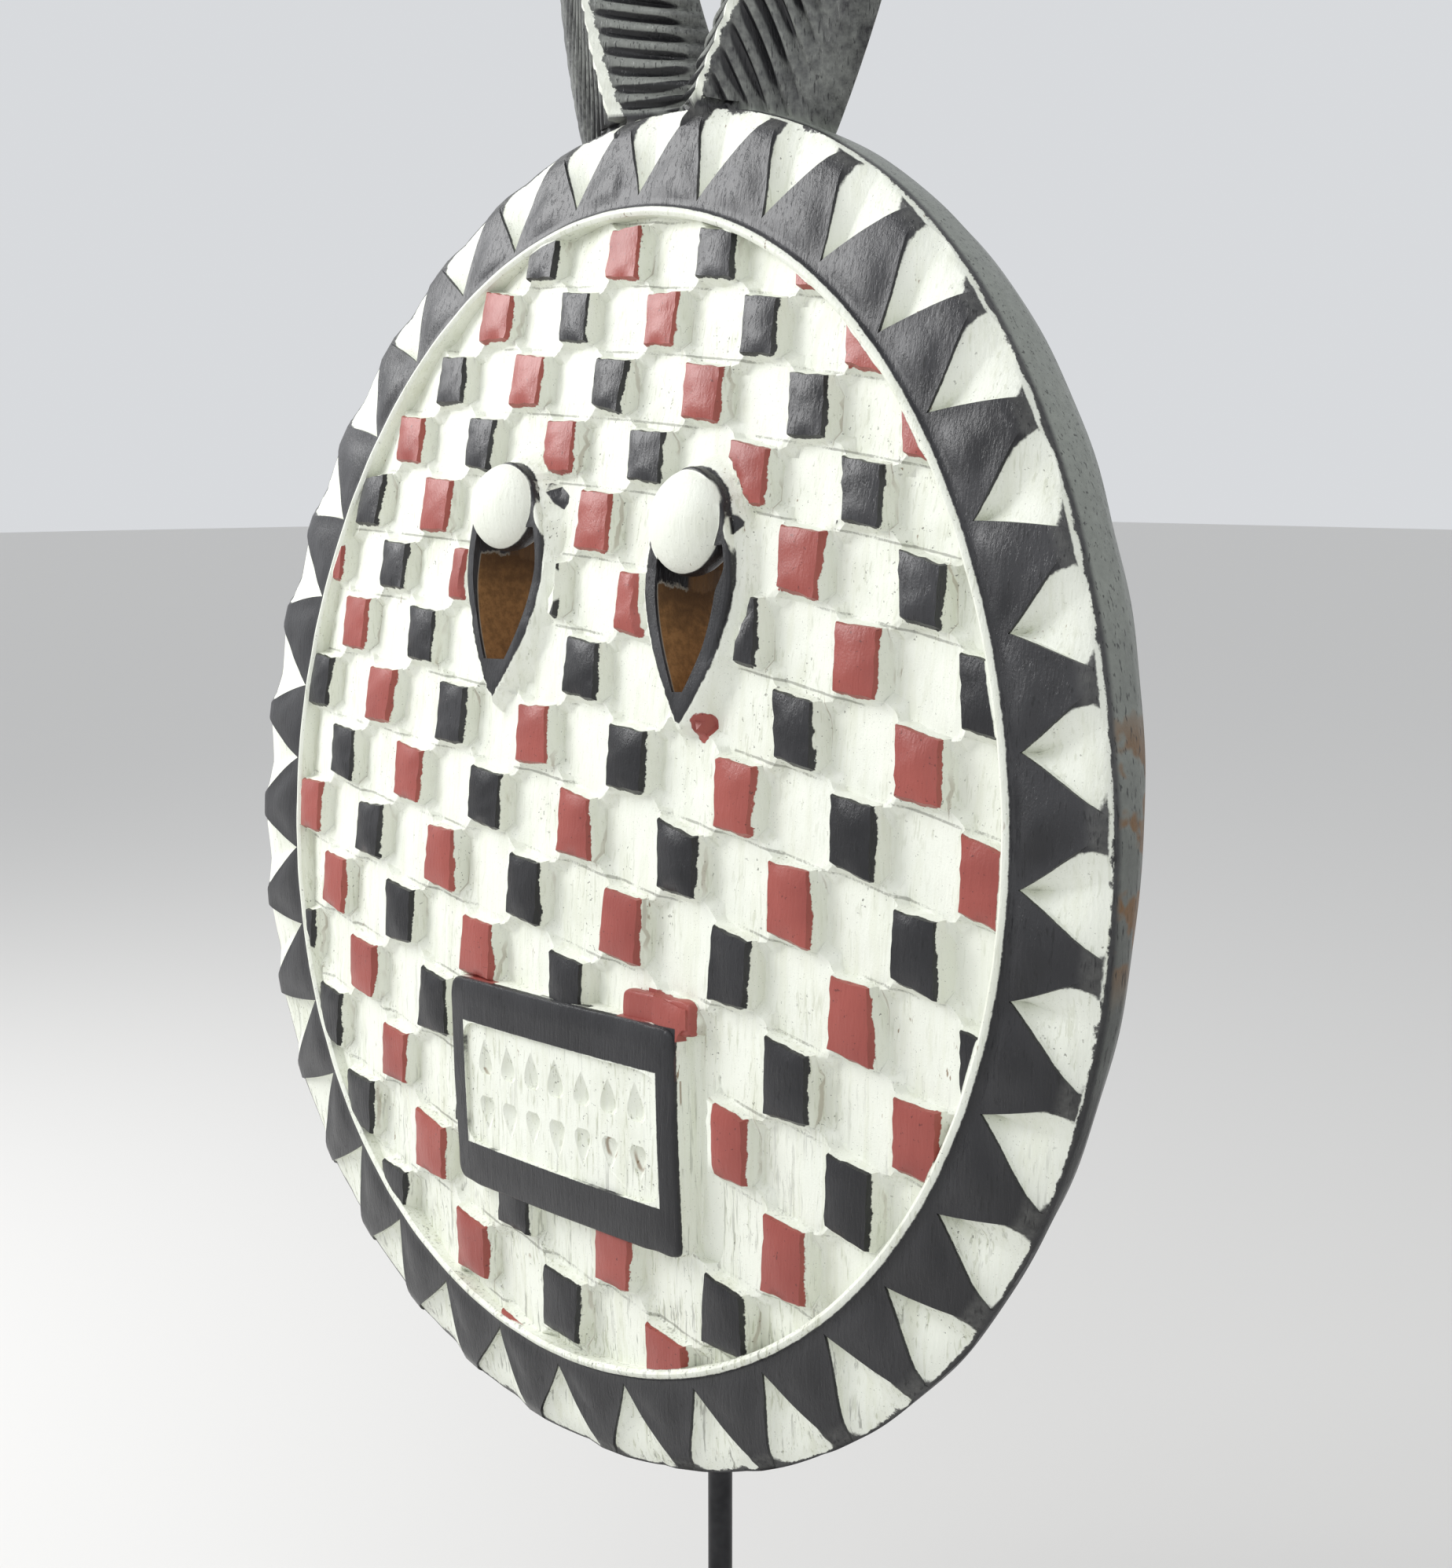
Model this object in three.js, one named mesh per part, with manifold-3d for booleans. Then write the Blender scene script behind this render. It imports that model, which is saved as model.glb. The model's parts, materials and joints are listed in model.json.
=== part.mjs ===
// Goli mask: a wooden disc with a chequered, chip-carved face and two horns, carved in one piece,
// held up by a bent steel rod on a wooden foot. Millimetres, +Z up. The face looks along -Y,
// and +X is to the right of someone who faces it.
import * as THREE from 'three';
import { mergeVertices } from 'three/addons/utils/BufferGeometryUtils.js';
import { ConvexGeometry } from 'three/addons/geometries/ConvexGeometry.js';
import Module from 'manifold-3d';

const wasm = await Module();
wasm.setup();

// The disc. Its own frame has x to the right, y up the face and z out of the face,
// with the origin where the middle of the rim's circle meets the domed face.
const DOME_RADIUS = 917;
const RIM_RADIUS = 196.5;
const FIELD_RADIUS = 167.3;
const SHELL = 21;
const BACK_Z = -48;
const BACK_ROUNDING = 16;
const BACK_RIM_WIDTH = 8;
const DISC_COLUMNS = 64;
// The hollow: its flat floor's radius, then [inset from its mouth, depth below the floor].
const HOLLOW_FLOOR = 90;
const HOLLOW_WALL = [[20, 1], [4, 4]];
// Heights above and below everything that is cut straight through the disc.
const THROUGH = [-70, 20];
const LEAN = THREE.MathUtils.degToRad(5.4);

// Outlines cut by eye: [turns, cosine part, sine part] of the radius, clockwise from the top.
const RIM_WOBBLE = [[1, -0.4, -4.2], [2, 0, 3.5], [3, 4.4, 2.2]];
const FIELD_WOBBLE = [[1, 0.9, 4.0], [2, 2.9, 1.5], [3, 2.7, -0.5]];

// The side wall's profile: [step outwards from the rim, step back from the face, share of the
// extra thickness]. The extra thickness is greatest at the upper right.
const WALL = [[-4, 0.4, 0], [-0.4, 2.3, 0], [1.8, 4.6, 0.5], [0.2, 8.4, 1], [-12, 17.4, 1]];
const EXTRA_THICKNESS = 14;
const THICKEST = THREE.MathUtils.degToRad(50);

// The chequered field: 15 rows and 15 columns, with cell 0, 0 in the middle.
const HALF_CELLS = 7;
const CELL_ORIGIN = [20, 17.3];
const CELL_X = { u: 21.93, v: -0.33, uu: -0.26, uv: -0.24, vv: -0.19 };
const CELL_Y = { u: -1.78, v: 22.1, uu: -0.08, uv: 0.03, vv: -0.24 };
const FACE_HALF = 0.33;
const FLOOR_HALF = 0.46;
const PILLOW = [0, -0.8, 0];
const SCOOP_DEPTH = [5.4, 6.8, 5.0];
// The ridge round the field: [inset from the field's edge, rise above the dome].
const RIDGE = [[3.6, 0.4], [1.8, 1], [0, -0.2]];
const BASIN_DEPTH = 12;
const SLAB_DEPTH = 16.5;
const HAND_JITTER = 0.035;

// The ring of chip-carved triangles. A chip is deepest at its point.
const TEETH = 36;
const TOOTH_START = THREE.MathUtils.degToRad(4.3);
const TOOTH_DRIFT = [[1, 2.4, -1.0], [2, 0.6, -0.3], [3, 0.1, -1.4]];
const TOOTH_GAP = THREE.MathUtils.degToRad(0.35);
const CHIP_DEPTH = [5.5, 2.9];
const CHIP_INSET = 3;
const CHIP_ABOVE = 3;
const CHIP_PAST_RIM = 0.5;
const CHIP_OUTSIDE = 14;
const CHIP_SLOPE = 0.6;

// The eyes: a pointed drop with a black rim, an egg-shaped lid above and a slot below it.
const EYES = [
  {
    x: -26, top: 99.8, turn: 0.05, half: 19, shoulder: 33, height: 70,
    lid: { across: -1.3, drop: 13, radii: [16.8, 13.2, 9] },
  },
  {
    x: 56, top: 98.5, turn: 0.1, half: 16.8, shoulder: 31, height: 69.3,
    lid: { across: -0.9, drop: 14.6, radii: [16.3, 14.6, 9] },
  },
];
const DROP_TAPER = 1.6;
const DROP_HOOK = 2.2;
const DROP_RIM = 3.6;
const DROP_RISE = 1.0;
const DROP_ROOT = 10;
const LID_SUNK = 0.35;

// The mouth: a frame round a panel with two rows of teeth.
const MOUTH = { x: 15.7, y: -87.3, turn: THREE.MathUtils.degToRad(2.5) };
const MOUTH_SIZE = [105, 65];
const MOUTH_PANEL = [91, 38];
const MOUTH_RISE = 1.8;
const MOUTH_BLOCK = 11;
const MOUTH_SEAT = 8;
const PANEL_DEPTH = 1.4;
const MOUTH_TEETH = 7;
const MOUTH_MARGIN = 0.6;
const MOUTH_CHIP = { half: 3.7, from: 3, deepest: 5.5, to: 14.5, depth: 2.8, above: 2 };

// Beside the mouth: a channel along its right side, and a red block on its upper right corner:
// middle [across, up] and size [across, up].
const CHANNEL = { middle: [57.5, 0], size: [12, 65], depth: 6 };
const CORNER_BLOCK = { middle: [43.5, 35.5], size: [20, 11] };

// The horns: each one follows an arc in the plane of the disc, leaning out and then back in.
const HORN_MIDDLE = 6.5;
const HORN_FOOT = [14, 195];
const HORN_LENGTH = 310;
const HORN_ROOT = 16;
const HORN_START = THREE.MathUtils.degToRad(32);
const HORN_END = THREE.MathUtils.degToRad(-28);
const HORN_Z = -44;
const HORN_TAPER = 0.82;
const GROOVE_PITCH = 11.5;
const GROOVE_DEPTH = 2.6;
const GROOVED_PART = 0.62;
const GROOVE_SLANT = [0.9, -0.225];
const SLANT_RAMP = [45, 60];
// A horn's section from the inner edge over the front: [outwards, forwards, share of the groove].
const HORN_SECTION = [
  [-28, 0, 0], [-24, 7, 0.5], [-12, 15, 1], [0, 23, 0], [15, 15.5, 1], [30, 7, 0.4], [38, 0, 0],
  [30, -3.6, 0], [-22, -3.6, 0],
];

// The stand: a rod stands in a foot, bends into the hollow and ends in a curved bar, and a peg with
// a pad steadies the back rim. The mask hangs on the bar.
const FOOT_SIZE = [200, 150, 25];
const FOOT_CORNER = 6;
const FOOT_BEVEL = 2;
const SOCKET_DEPTH = 18;
const ROD_RADIUS = 4;
const ROD_SIDES = 12;
const ROD_X = 8;
const ROD_Y = 28;
const ROD_BEHIND = 66;
const ROD_BEND = { from: 30, round: 30, into: 112, depth: 38 };
const BAR_RADIUS = 3.5;
const BAR_INSET = 12.1;
const BAR_Z = -43;
const BAR_REACH = THREE.MathUtils.degToRad(20);
const PEG_Y = -181;
const PEG_RADIUS = 3;
const PAD = { radius: 5.5, length: 4 };
const DISC_HEIGHT = 368;
const CONTACT_GAP = 0.3;

const domeZ = (x, y) => -(x * x + y * y) / (2 * DOME_RADIUS);

const wobble = (terms, angle) => terms.reduce(
  (sum, [turns, cosine, sine]) => sum + cosine * Math.cos(turns * angle) + sine * Math.sin(turns * angle),
  0,
);

const rimAt = (angle) => RIM_RADIUS + wobble(RIM_WOBBLE, angle);
const fieldAt = (angle) => FIELD_RADIUS + wobble(FIELD_WOBBLE, angle);

// A point of the disc at a clockwise angle from the top, a radius, and a depth below the dome.
function polar(angle, radius, depth) {
  const x = radius * Math.sin(angle);
  const y = radius * Math.cos(angle);
  return new THREE.Vector3(x, y, domeZ(x, y) - depth);
}

// A point of the field in cells, and a depth below the dome.
function cell(u, v, depth) {
  const along = (k) => k.u * u + k.v * v + k.uu * u * u + k.uv * u * v + k.vv * v * v;
  const x = CELL_ORIGIN[0] + along(CELL_X);
  const y = CELL_ORIGIN[1] + along(CELL_Y);
  return new THREE.Vector3(x, y, domeZ(x, y) - depth);
}

// A repeatable small offset for the hand-cut edges, from -1 to 1.
function jitter(a, b) {
  const wave = Math.sin(a * 12.9898 + b * 78.233) * 43758.5453;
  return 2 * (wave - Math.floor(wave)) - 1;
}

function toManifold(geometry) {
  const bare = geometry.clone();
  bare.deleteAttribute('normal');
  bare.deleteAttribute('uv');
  const merged = mergeVertices(bare, 1e-4);
  const triVerts = new Uint32Array(merged.index.array);
  const vertProperties = new Float32Array(merged.attributes.position.array);
  return new wasm.Manifold(new wasm.Mesh({ numProp: 3, vertProperties, triVerts }));
}

function toGeometry(manifold) {
  const mesh = manifold.getMesh();
  const geometry = new THREE.BufferGeometry();
  geometry.setAttribute('position', new THREE.BufferAttribute(mesh.vertProperties, 3));
  geometry.setIndex(new THREE.BufferAttribute(mesh.triVerts, 1));
  geometry.computeVertexNormals();
  return geometry;
}

const union = (solids) => solids.reduce((all, next) => all.add(next));

const hull = (points) => toManifold(new ConvexGeometry(points));

// A closed solid skinned over a row of rings, from one end point to the other.
function skin(start, rings, end) {
  const count = rings[0].length;
  const points = [start, ...rings.flat(), end];
  const last = points.length - 1;
  const at = (ring, k) => 1 + ring * count + (k % count);
  const index = [];
  for (let k = 0; k < count; k += 1) {
    index.push(0, at(0, k), at(0, k + 1));
    for (let ring = 0; ring + 1 < rings.length; ring += 1) {
      index.push(at(ring, k), at(ring + 1, k), at(ring + 1, k + 1));
      index.push(at(ring, k), at(ring + 1, k + 1), at(ring, k + 1));
    }
    index.push(last, at(rings.length - 1, k + 1), at(rings.length - 1, k));
  }
  if (volumeOf(points, index) < 0) {
    index.reverse();
  }
  const geometry = new THREE.BufferGeometry().setFromPoints(points);
  geometry.setIndex(index);
  return toManifold(geometry);
}

function volumeOf(points, index) {
  let volume = 0;
  for (let k = 0; k < index.length; k += 3) {
    const [a, b, c] = [points[index[k]], points[index[k + 1]], points[index[k + 2]]];
    volume += a.dot(new THREE.Vector3().crossVectors(b, c)) / 6;
  }
  return volume;
}

// A column over an outline in the plane of the disc, from one height to another.
function column(outline, low, high) {
  const middle = outline.reduce((sum, p) => sum.add(p), new THREE.Vector2());
  middle.divideScalar(outline.length);
  const ring = (z) => outline.map((p) => new THREE.Vector3(p.x, p.y, z));
  const end = (z) => new THREE.Vector3(middle.x, middle.y, z);
  return skin(end(low), [ring(low), ring(high)], end(high));
}

const columnAngles = Array.from({ length: DISC_COLUMNS }, (_, k) => (k * 2 * Math.PI) / DISC_COLUMNS);

const extraThickness = (angle) => EXTRA_THICKNESS * Math.max(0, Math.cos(angle - THICKEST)) ** 2;

// The disc's block: basin for the field, ridge, ring zone, side wall and flat back.
function discBlock() {
  const around = (place) => columnAngles.map(place);
  const rings = [
    around((a) => polar(a, fieldAt(a) - RIDGE[0][0], BASIN_DEPTH)),
    ...RIDGE.map(([inset, rise]) => around((a) => polar(a, fieldAt(a) - inset, -rise))),
    ...WALL.map(([out, back, share]) => around((a) => {
      const edge = polar(a, rimAt(a), 0);
      const place = polar(a, rimAt(a) + out, 0);
      place.z = Math.max(place.z, edge.z) - back - extraThickness(a) * share;
      return place;
    })),
    around((a) => polar(a, rimAt(a) - BACK_ROUNDING, 0).setZ(BACK_Z)),
  ];
  return skin(polar(0, 0, BASIN_DEPTH), rings, new THREE.Vector3(0, 0, BACK_Z));
}

// The radius of the hollow's mouth in the flat back.
const mouthAt = (angle) => rimAt(angle) - BACK_ROUNDING - BACK_RIM_WIDTH;

// The hollow behind the face.
function hollow() {
  const around = (place) => columnAngles.filter((_, k) => k % 2 === 0).map(place);
  const rings = [
    around((a) => polar(a, HOLLOW_FLOOR, SHELL)),
    ...HOLLOW_WALL.map(([inset, down]) => around((a) => polar(a, mouthAt(a) - inset, SHELL + down))),
    around((a) => polar(a, mouthAt(a), 0).setZ(BACK_Z - 1)),
  ];
  return skin(polar(0, 0, SHELL), rings, new THREE.Vector3(0, 0, BACK_Z - 1));
}

// The slab of the field. Each cell has three columns and two rows of its own: a raised block has a
// pillowed face, and a sunk cell has a scooped floor. The strips between them are the cut walls.
function fieldSlab() {
  const cells = 2 * HALF_CELLS + 3;
  const slab = new THREE.BoxGeometry(1, 1, 1, 3 * cells - 1, 2 * cells - 1, 1);
  const place = slab.attributes.position;
  for (let k = 0; k < place.count; k += 1) {
    const column = Math.round((place.getX(k) + 0.5) * (3 * cells - 1));
    const row = Math.round((place.getY(k) + 0.5) * (2 * cells - 1));
    const u = Math.floor(column / 3) - HALF_CELLS - 1;
    const v = Math.floor(row / 2) - HALF_CELLS - 1;
    const raised = (u + v) % 2 !== 0;
    const half = (raised ? FACE_HALF : FLOOR_HALF) + HAND_JITTER * jitter(column, row);
    const profile = raised ? PILLOW : SCOOP_DEPTH;
    const depth = place.getZ(k) > 0 ? profile[column % 3] : SLAB_DEPTH;
    const point = cell(u + ((column % 3) - 1) * half, v + ((row % 2) * 2 - 1) * half, depth);
    place.setXYZ(k, point.x, point.y, point.z);
  }
  return toManifold(slab);
}

const fieldOutline = (inset) => columnAngles.map((a) => {
  const radius = fieldAt(a) - inset;
  return new THREE.Vector2(radius * Math.sin(a), radius * Math.cos(a));
});

const field = () => fieldSlab().intersect(column(fieldOutline(RIDGE[1][0]), ...THROUGH));

// Where the point of black tooth k meets the rim.
function toothAngle(k) {
  const even = (k * 2 * Math.PI) / TEETH;
  return even + TOOTH_START + THREE.MathUtils.degToRad(wobble(TOOTH_DRIFT, even));
}

// The chip cut out between two black teeth: its point is at the field and its base at the rim.
function chip(k) {
  const from = toothAngle(k) + TOOTH_GAP;
  const to = toothAngle(k + 1) - TOOTH_GAP;
  const middle = (from + to) / 2;
  const points = [];
  for (const [inner, outer, shrink] of [[-CHIP_ABOVE, -CHIP_ABOVE, 0], [...CHIP_DEPTH, CHIP_SLOPE]]) {
    points.push(polar(middle, fieldAt(middle) + CHIP_INSET + 2 * shrink, inner));
    const turn = shrink / RIM_RADIUS;
    points.push(polar(from + turn, rimAt(from) + CHIP_PAST_RIM, outer));
    points.push(polar(to - turn, rimAt(to) + CHIP_PAST_RIM, outer));
    points.push(polar(from + turn, rimAt(from) + CHIP_OUTSIDE, outer - 1));
    points.push(polar(to - turn, rimAt(to) + CHIP_OUTSIDE, outer - 1));
  }
  return hull(points);
}

// Half the drop's width at a distance below its top.
function dropHalfWidth(eye, down) {
  if (down < eye.shoulder) {
    const rise = 1 - down / eye.shoulder;
    return eye.half * Math.sqrt(Math.max(0, 1 - rise * rise));
  }
  return eye.half * (1 - ((down - eye.shoulder) / (eye.height - eye.shoulder)) ** DROP_TAPER);
}

const turned = (x, y, turn) => [
  x * Math.cos(turn) - y * Math.sin(turn),
  x * Math.sin(turn) + y * Math.cos(turn),
];

// A point of the disc's plane, given across and down from an eye's top. The tip hooks to the left.
function eyePoint(eye, across, down) {
  const hook = Math.max(0, (down - eye.shoulder) / (eye.height - eye.shoulder)) ** 2;
  const [x, y] = turned(across - DROP_HOOK * hook, -down, eye.turn);
  return new THREE.Vector2(eye.x + x, eye.top + y);
}

// The drop's outline, drawn in by a margin, from a first distance below its top.
function dropOutline(eye, margin, from) {
  const steps = 8;
  const tip = eye.height - 2.2 * margin;
  const sides = Array.from({ length: steps + 1 }, (_, k) => {
    const down = from + (tip - from) * Math.sin((k / steps) * Math.PI * 0.5) ** 1.2;
    return [Math.max(0, dropHalfWidth(eye, down) - margin), down];
  });
  const right = sides.map(([half, down]) => eyePoint(eye, half, down));
  const open = sides.filter(([half]) => half > 0);
  const left = open.reverse().map(([half, down]) => eyePoint(eye, -half, down));
  return [...right, ...left].reverse();
}

function eyeRim(eye) {
  const middle = eyePoint(eye, 0, eye.shoulder);
  const top = domeZ(middle.x, middle.y) + DROP_RISE;
  return column(dropOutline(eye, 0, 0), top - DROP_ROOT, top);
}

function eyeSlot(eye) {
  const under = eye.lid.drop + eye.lid.radii[1] * 0.55;
  return column(dropOutline(eye, DROP_RIM, under), ...THROUGH);
}

function eyeLid(eye) {
  const lid = new THREE.SphereGeometry(1, 14, 8);
  const middle = eyePoint(eye, eye.lid.across, eye.lid.drop);
  const sunk = eye.lid.radii[2] * LID_SUNK;
  lid.scale(...eye.lid.radii);
  lid.rotateZ(eye.turn);
  lid.translate(middle.x, middle.y, domeZ(middle.x, middle.y) + DROP_RISE - sunk);
  return toManifold(lid);
}

// A point of the mouth's own plane, set into the face.
function mouthPoint(across, up, depth) {
  const [x, y] = turned(across, up, MOUTH.turn);
  const place = [MOUTH.x + x, MOUTH.y + y];
  return new THREE.Vector3(place[0], place[1], domeZ(place[0], place[1]) + MOUTH_RISE - depth);
}

function mouthBlock([width, height], low, high, [acrossMiddle, upMiddle] = [0, 0]) {
  const across = 4;
  const up = 2;
  const block = new THREE.BoxGeometry(width, height, 1, across, up, 1);
  const place = block.attributes.position;
  for (let k = 0; k < place.count; k += 1) {
    const depth = place.getZ(k) > 0 ? high : low;
    const point = mouthPoint(acrossMiddle + place.getX(k), upMiddle + place.getY(k), depth);
    place.setXYZ(k, point.x, point.y, point.z);
  }
  return toManifold(block);
}

// One chip between two teeth of the mouth: pointed at the far end, rounded off at the middle line.
function mouthChip(across, up) {
  const { half, from, deepest, to, depth, above } = MOUTH_CHIP;
  const at = (step, along, below) => mouthPoint(across + step, up * along, PANEL_DEPTH + below);
  return hull([
    at(-half, from, -above), at(half, from, -above), at(0, to, -above),
    at(-half, from, 0), at(half, from, 0), at(0, to, 0),
    at(0, deepest, depth),
  ]);
}

function carveMouth(block) {
  const cuts = [mouthBlock(MOUTH_PANEL, PANEL_DEPTH, -MOUTH_BLOCK)];
  const pitch = MOUTH_PANEL[0] / (MOUTH_TEETH + MOUTH_MARGIN);
  for (let k = 0; k < MOUTH_TEETH; k += 1) {
    const across = (k - (MOUTH_TEETH - 1) / 2) * pitch;
    cuts.push(mouthChip(across, 1), mouthChip(across, -1));
  }
  return block.subtract(union(cuts));
}

// A point on a horn: a distance along it, outwards and forwards of its middle line.
function hornPoint(along, out, forward, side) {
  const turnPerLength = (HORN_END - HORN_START) / HORN_LENGTH;
  const heading = HORN_START + turnPerLength * along;
  const radius = 1 / turnPerLength;
  const x = HORN_FOOT[0] - radius * (Math.cos(heading) - Math.cos(HORN_START));
  const y = HORN_FOOT[1] + radius * (Math.sin(heading) - Math.sin(HORN_START));
  const outX = x + out * Math.cos(heading);
  const outY = y - out * Math.sin(heading);
  return new THREE.Vector3(HORN_MIDDLE + side * outX, outY, HORN_Z + forward);
}

// A horn: grooved rings up to the plain part, and a few rings on to the tip. The grooves slant
// down from the ridge, less near the root and the tip.
function horn(side) {
  const grooved = HORN_LENGTH * GROOVED_PART;
  const plainSteps = 4;
  const stations = [];
  for (let along = -HORN_ROOT; along < grooved; along += GROOVE_PITCH / 2) {
    stations.push(along);
  }
  for (let k = 0; k <= plainSteps; k += 1) {
    stations.push(grooved + ((HORN_LENGTH - grooved) * k) / plainSteps);
  }
  const rings = stations.map((along, k) => {
    const size = 1 - HORN_TAPER * Math.max(0, along / HORN_LENGTH) ** 1.6;
    const cut = along < grooved && k % 2 === 1 ? GROOVE_DEPTH * size : 0;
    const rootRamp = Math.max(0, along / SLANT_RAMP[0]);
    const tipRamp = Math.max(0, (HORN_LENGTH - along) / SLANT_RAMP[1]);
    const ramp = Math.min(1, rootRamp, tipRamp) * size;
    return HORN_SECTION.map(([out, forward, share]) => {
      const slant = forward > 0 ? Math.max(GROOVE_SLANT[0] * out, GROOVE_SLANT[1] * out) : 0;
      return hornPoint(along - slant * ramp, out * size, forward * size - cut * share, side);
    });
  });
  const foot = hornPoint(-HORN_ROOT, 0, 8, side);
  const tip = hornPoint(HORN_LENGTH + 4, 0, 1, side);
  return skin(foot, rings, tip);
}

// Everything behind the flat back, to be cut off.
function behindBlock() {
  const depth = 100;
  const block = new THREE.BoxGeometry(900, 1700, depth);
  block.translate(0, 0, BACK_Z - depth / 2);
  return toManifold(block);
}

function maskSolid() {
  const chips = Array.from({ length: TEETH }, (_, k) => chip(k));
  const behind = behindBlock();
  let solid = discBlock().add(field());
  solid = solid.add(horn(1)).add(horn(-1)).subtract(behind);
  solid = solid.subtract(union(chips)).subtract(hollow());
  solid = solid.add(union(EYES.map(eyeRim)));
  solid = solid.subtract(union(EYES.map(eyeSlot)));
  solid = solid.add(union(EYES.map(eyeLid)).subtract(behind));
  const seat = mouthBlock([MOUTH_SIZE[0] - 1, MOUTH_SIZE[1] - 1], MOUTH_SEAT, -MOUTH_BLOCK);
  const channel = mouthBlock(CHANNEL.size, CHANNEL.depth + MOUTH_RISE, -MOUTH_BLOCK, CHANNEL.middle);
  solid = solid.subtract(seat.add(channel));
  solid = solid.add(mouthBlock(CORNER_BLOCK.size, MOUTH_BLOCK, MOUTH_RISE, CORNER_BLOCK.middle));
  return solid.add(carveMouth(mouthBlock(MOUTH_SIZE, MOUTH_BLOCK, 0)));
}

const maskGeometry = toGeometry(maskSolid());
maskGeometry.computeBoundingBox();

// The middle of the disc, placed so that the whole object is centred over its foot.
const discMiddle = new THREE.Vector3(
  -(maskGeometry.boundingBox.min.x + maskGeometry.boundingBox.max.x) / 2,
  ROD_Y - ROD_BEHIND,
  DISC_HEIGHT,
);

// A point given in the disc's frame, in the object's frame.
function fromDisc(x, y, z) {
  const up = new THREE.Vector3(0, Math.sin(LEAN), Math.cos(LEAN));
  const out = new THREE.Vector3(0, -Math.cos(LEAN), Math.sin(LEAN));
  return new THREE.Vector3(x, 0, 0).addScaledVector(up, y).addScaledVector(out, z).add(discMiddle);
}

// A round bar along a curve through some points.
function bar(points, radius, steps) {
  const outline = new THREE.Shape().absarc(0, 0, radius, 0, 2 * Math.PI);
  const path = new THREE.CatmullRomCurve3(points, false, 'centripetal');
  const settings = { extrudePath: path, steps, curveSegments: ROD_SIDES / 2, bevelEnabled: false };
  return toManifold(new THREE.ExtrudeGeometry(outline, settings));
}

function standRod() {
  const low = FOOT_SIZE[2] - SOCKET_DEPTH + CONTACT_GAP;
  const rodX = discMiddle.x + ROD_X;
  const upright = (z) => new THREE.Vector3(rodX, ROD_Y, z);
  const barAngle = Math.atan2(ROD_X, mouthAt(0));
  const barAt = (turn) => {
    const place = polar(barAngle + turn, mouthAt(barAngle + turn) - BAR_INSET, 0);
    return fromDisc(place.x, place.y, BAR_Z);
  };
  const bend = fromDisc(0, ROD_BEND.from, 0).z;
  const rod = bar([
    upright(low),
    upright((low + bend) / 2),
    upright(bend - ROD_BEND.round),
    upright(bend),
    fromDisc(ROD_X, ROD_BEND.into, -ROD_BEND.depth),
    barAt(0),
  ], ROD_RADIUS, 16);
  const cradle = bar([-1, -0.5, 0, 0.5, 1].map((k) => barAt(k * BAR_REACH)), BAR_RADIUS, 8);
  const pegStart = BACK_Z - CONTACT_GAP;
  const pegAt = (z) => fromDisc(ROD_X, PEG_Y, z);
  const rodDepth = (ROD_Y - fromDisc(0, PEG_Y, 0).y) / Math.cos(LEAN);
  const peg = bar([pegAt(pegStart - 1), pegAt(-rodDepth)], PEG_RADIUS, 1);
  const pad = bar([pegAt(pegStart), pegAt(pegStart - PAD.length)], PAD.radius, 1);
  return union([rod, cradle, peg, pad]);
}

function standFoot() {
  const [width, depth, height] = FOOT_SIZE;
  const x = width / 2 - FOOT_BEVEL;
  const y = depth / 2 - FOOT_BEVEL;
  const corner = FOOT_CORNER;
  const outline = new THREE.Shape();
  outline.absarc(x - corner, y - corner, corner, 0, Math.PI / 2);
  outline.absarc(-x + corner, y - corner, corner, Math.PI / 2, Math.PI);
  outline.absarc(-x + corner, -y + corner, corner, Math.PI, 1.5 * Math.PI);
  outline.absarc(x - corner, -y + corner, corner, 1.5 * Math.PI, 2 * Math.PI);
  const block = new THREE.ExtrudeGeometry(outline, {
    depth: height - 2 * FOOT_BEVEL,
    bevelSize: FOOT_BEVEL,
    bevelThickness: FOOT_BEVEL,
    bevelSegments: 1,
    curveSegments: 3,
  });
  block.translate(0, 0, FOOT_BEVEL);
  const radius = ROD_RADIUS + CONTACT_GAP;
  const socket = new THREE.CylinderGeometry(radius, radius, 2 * SOCKET_DEPTH, ROD_SIDES);
  socket.rotateX(Math.PI / 2);
  socket.translate(discMiddle.x + ROD_X, ROD_Y, height);
  return toManifold(block).subtract(toManifold(socket));
}

const paint = (color, roughness, metalness) => new THREE.MeshStandardMaterial({
  color, roughness, metalness,
});

function piece(name, geometry, material) {
  const mesh = new THREE.Mesh(geometry, material);
  mesh.name = name;
  return mesh;
}

const object = new THREE.Group();

const mask = piece('mask', maskGeometry, paint(0xe9ebdd, 0.55, 0));
mask.rotation.x = Math.PI / 2 - LEAN;
mask.position.copy(discMiddle);
object.add(mask);
object.add(piece('stand_rod', toGeometry(standRod()), paint(0x17181a, 0.4, 0.9)));
object.add(piece('stand_foot', toGeometry(standFoot()), paint(0x151413, 0.45, 0)));

export default object;
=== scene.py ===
"""Goli mask: a carved and painted disc mask with horns, held up by a bent steel rod on a wooden foot.

The mask is carved in millimetres in the disc's own frame, with x to the right, y up the face and
z out of the face, and is set into place at the end. The rod is made in the object's frame; the foot is only
stained.
"""

import json
import math
from types import SimpleNamespace

import bpy
import numpy as np
from mathutils import Matrix, Vector

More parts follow.
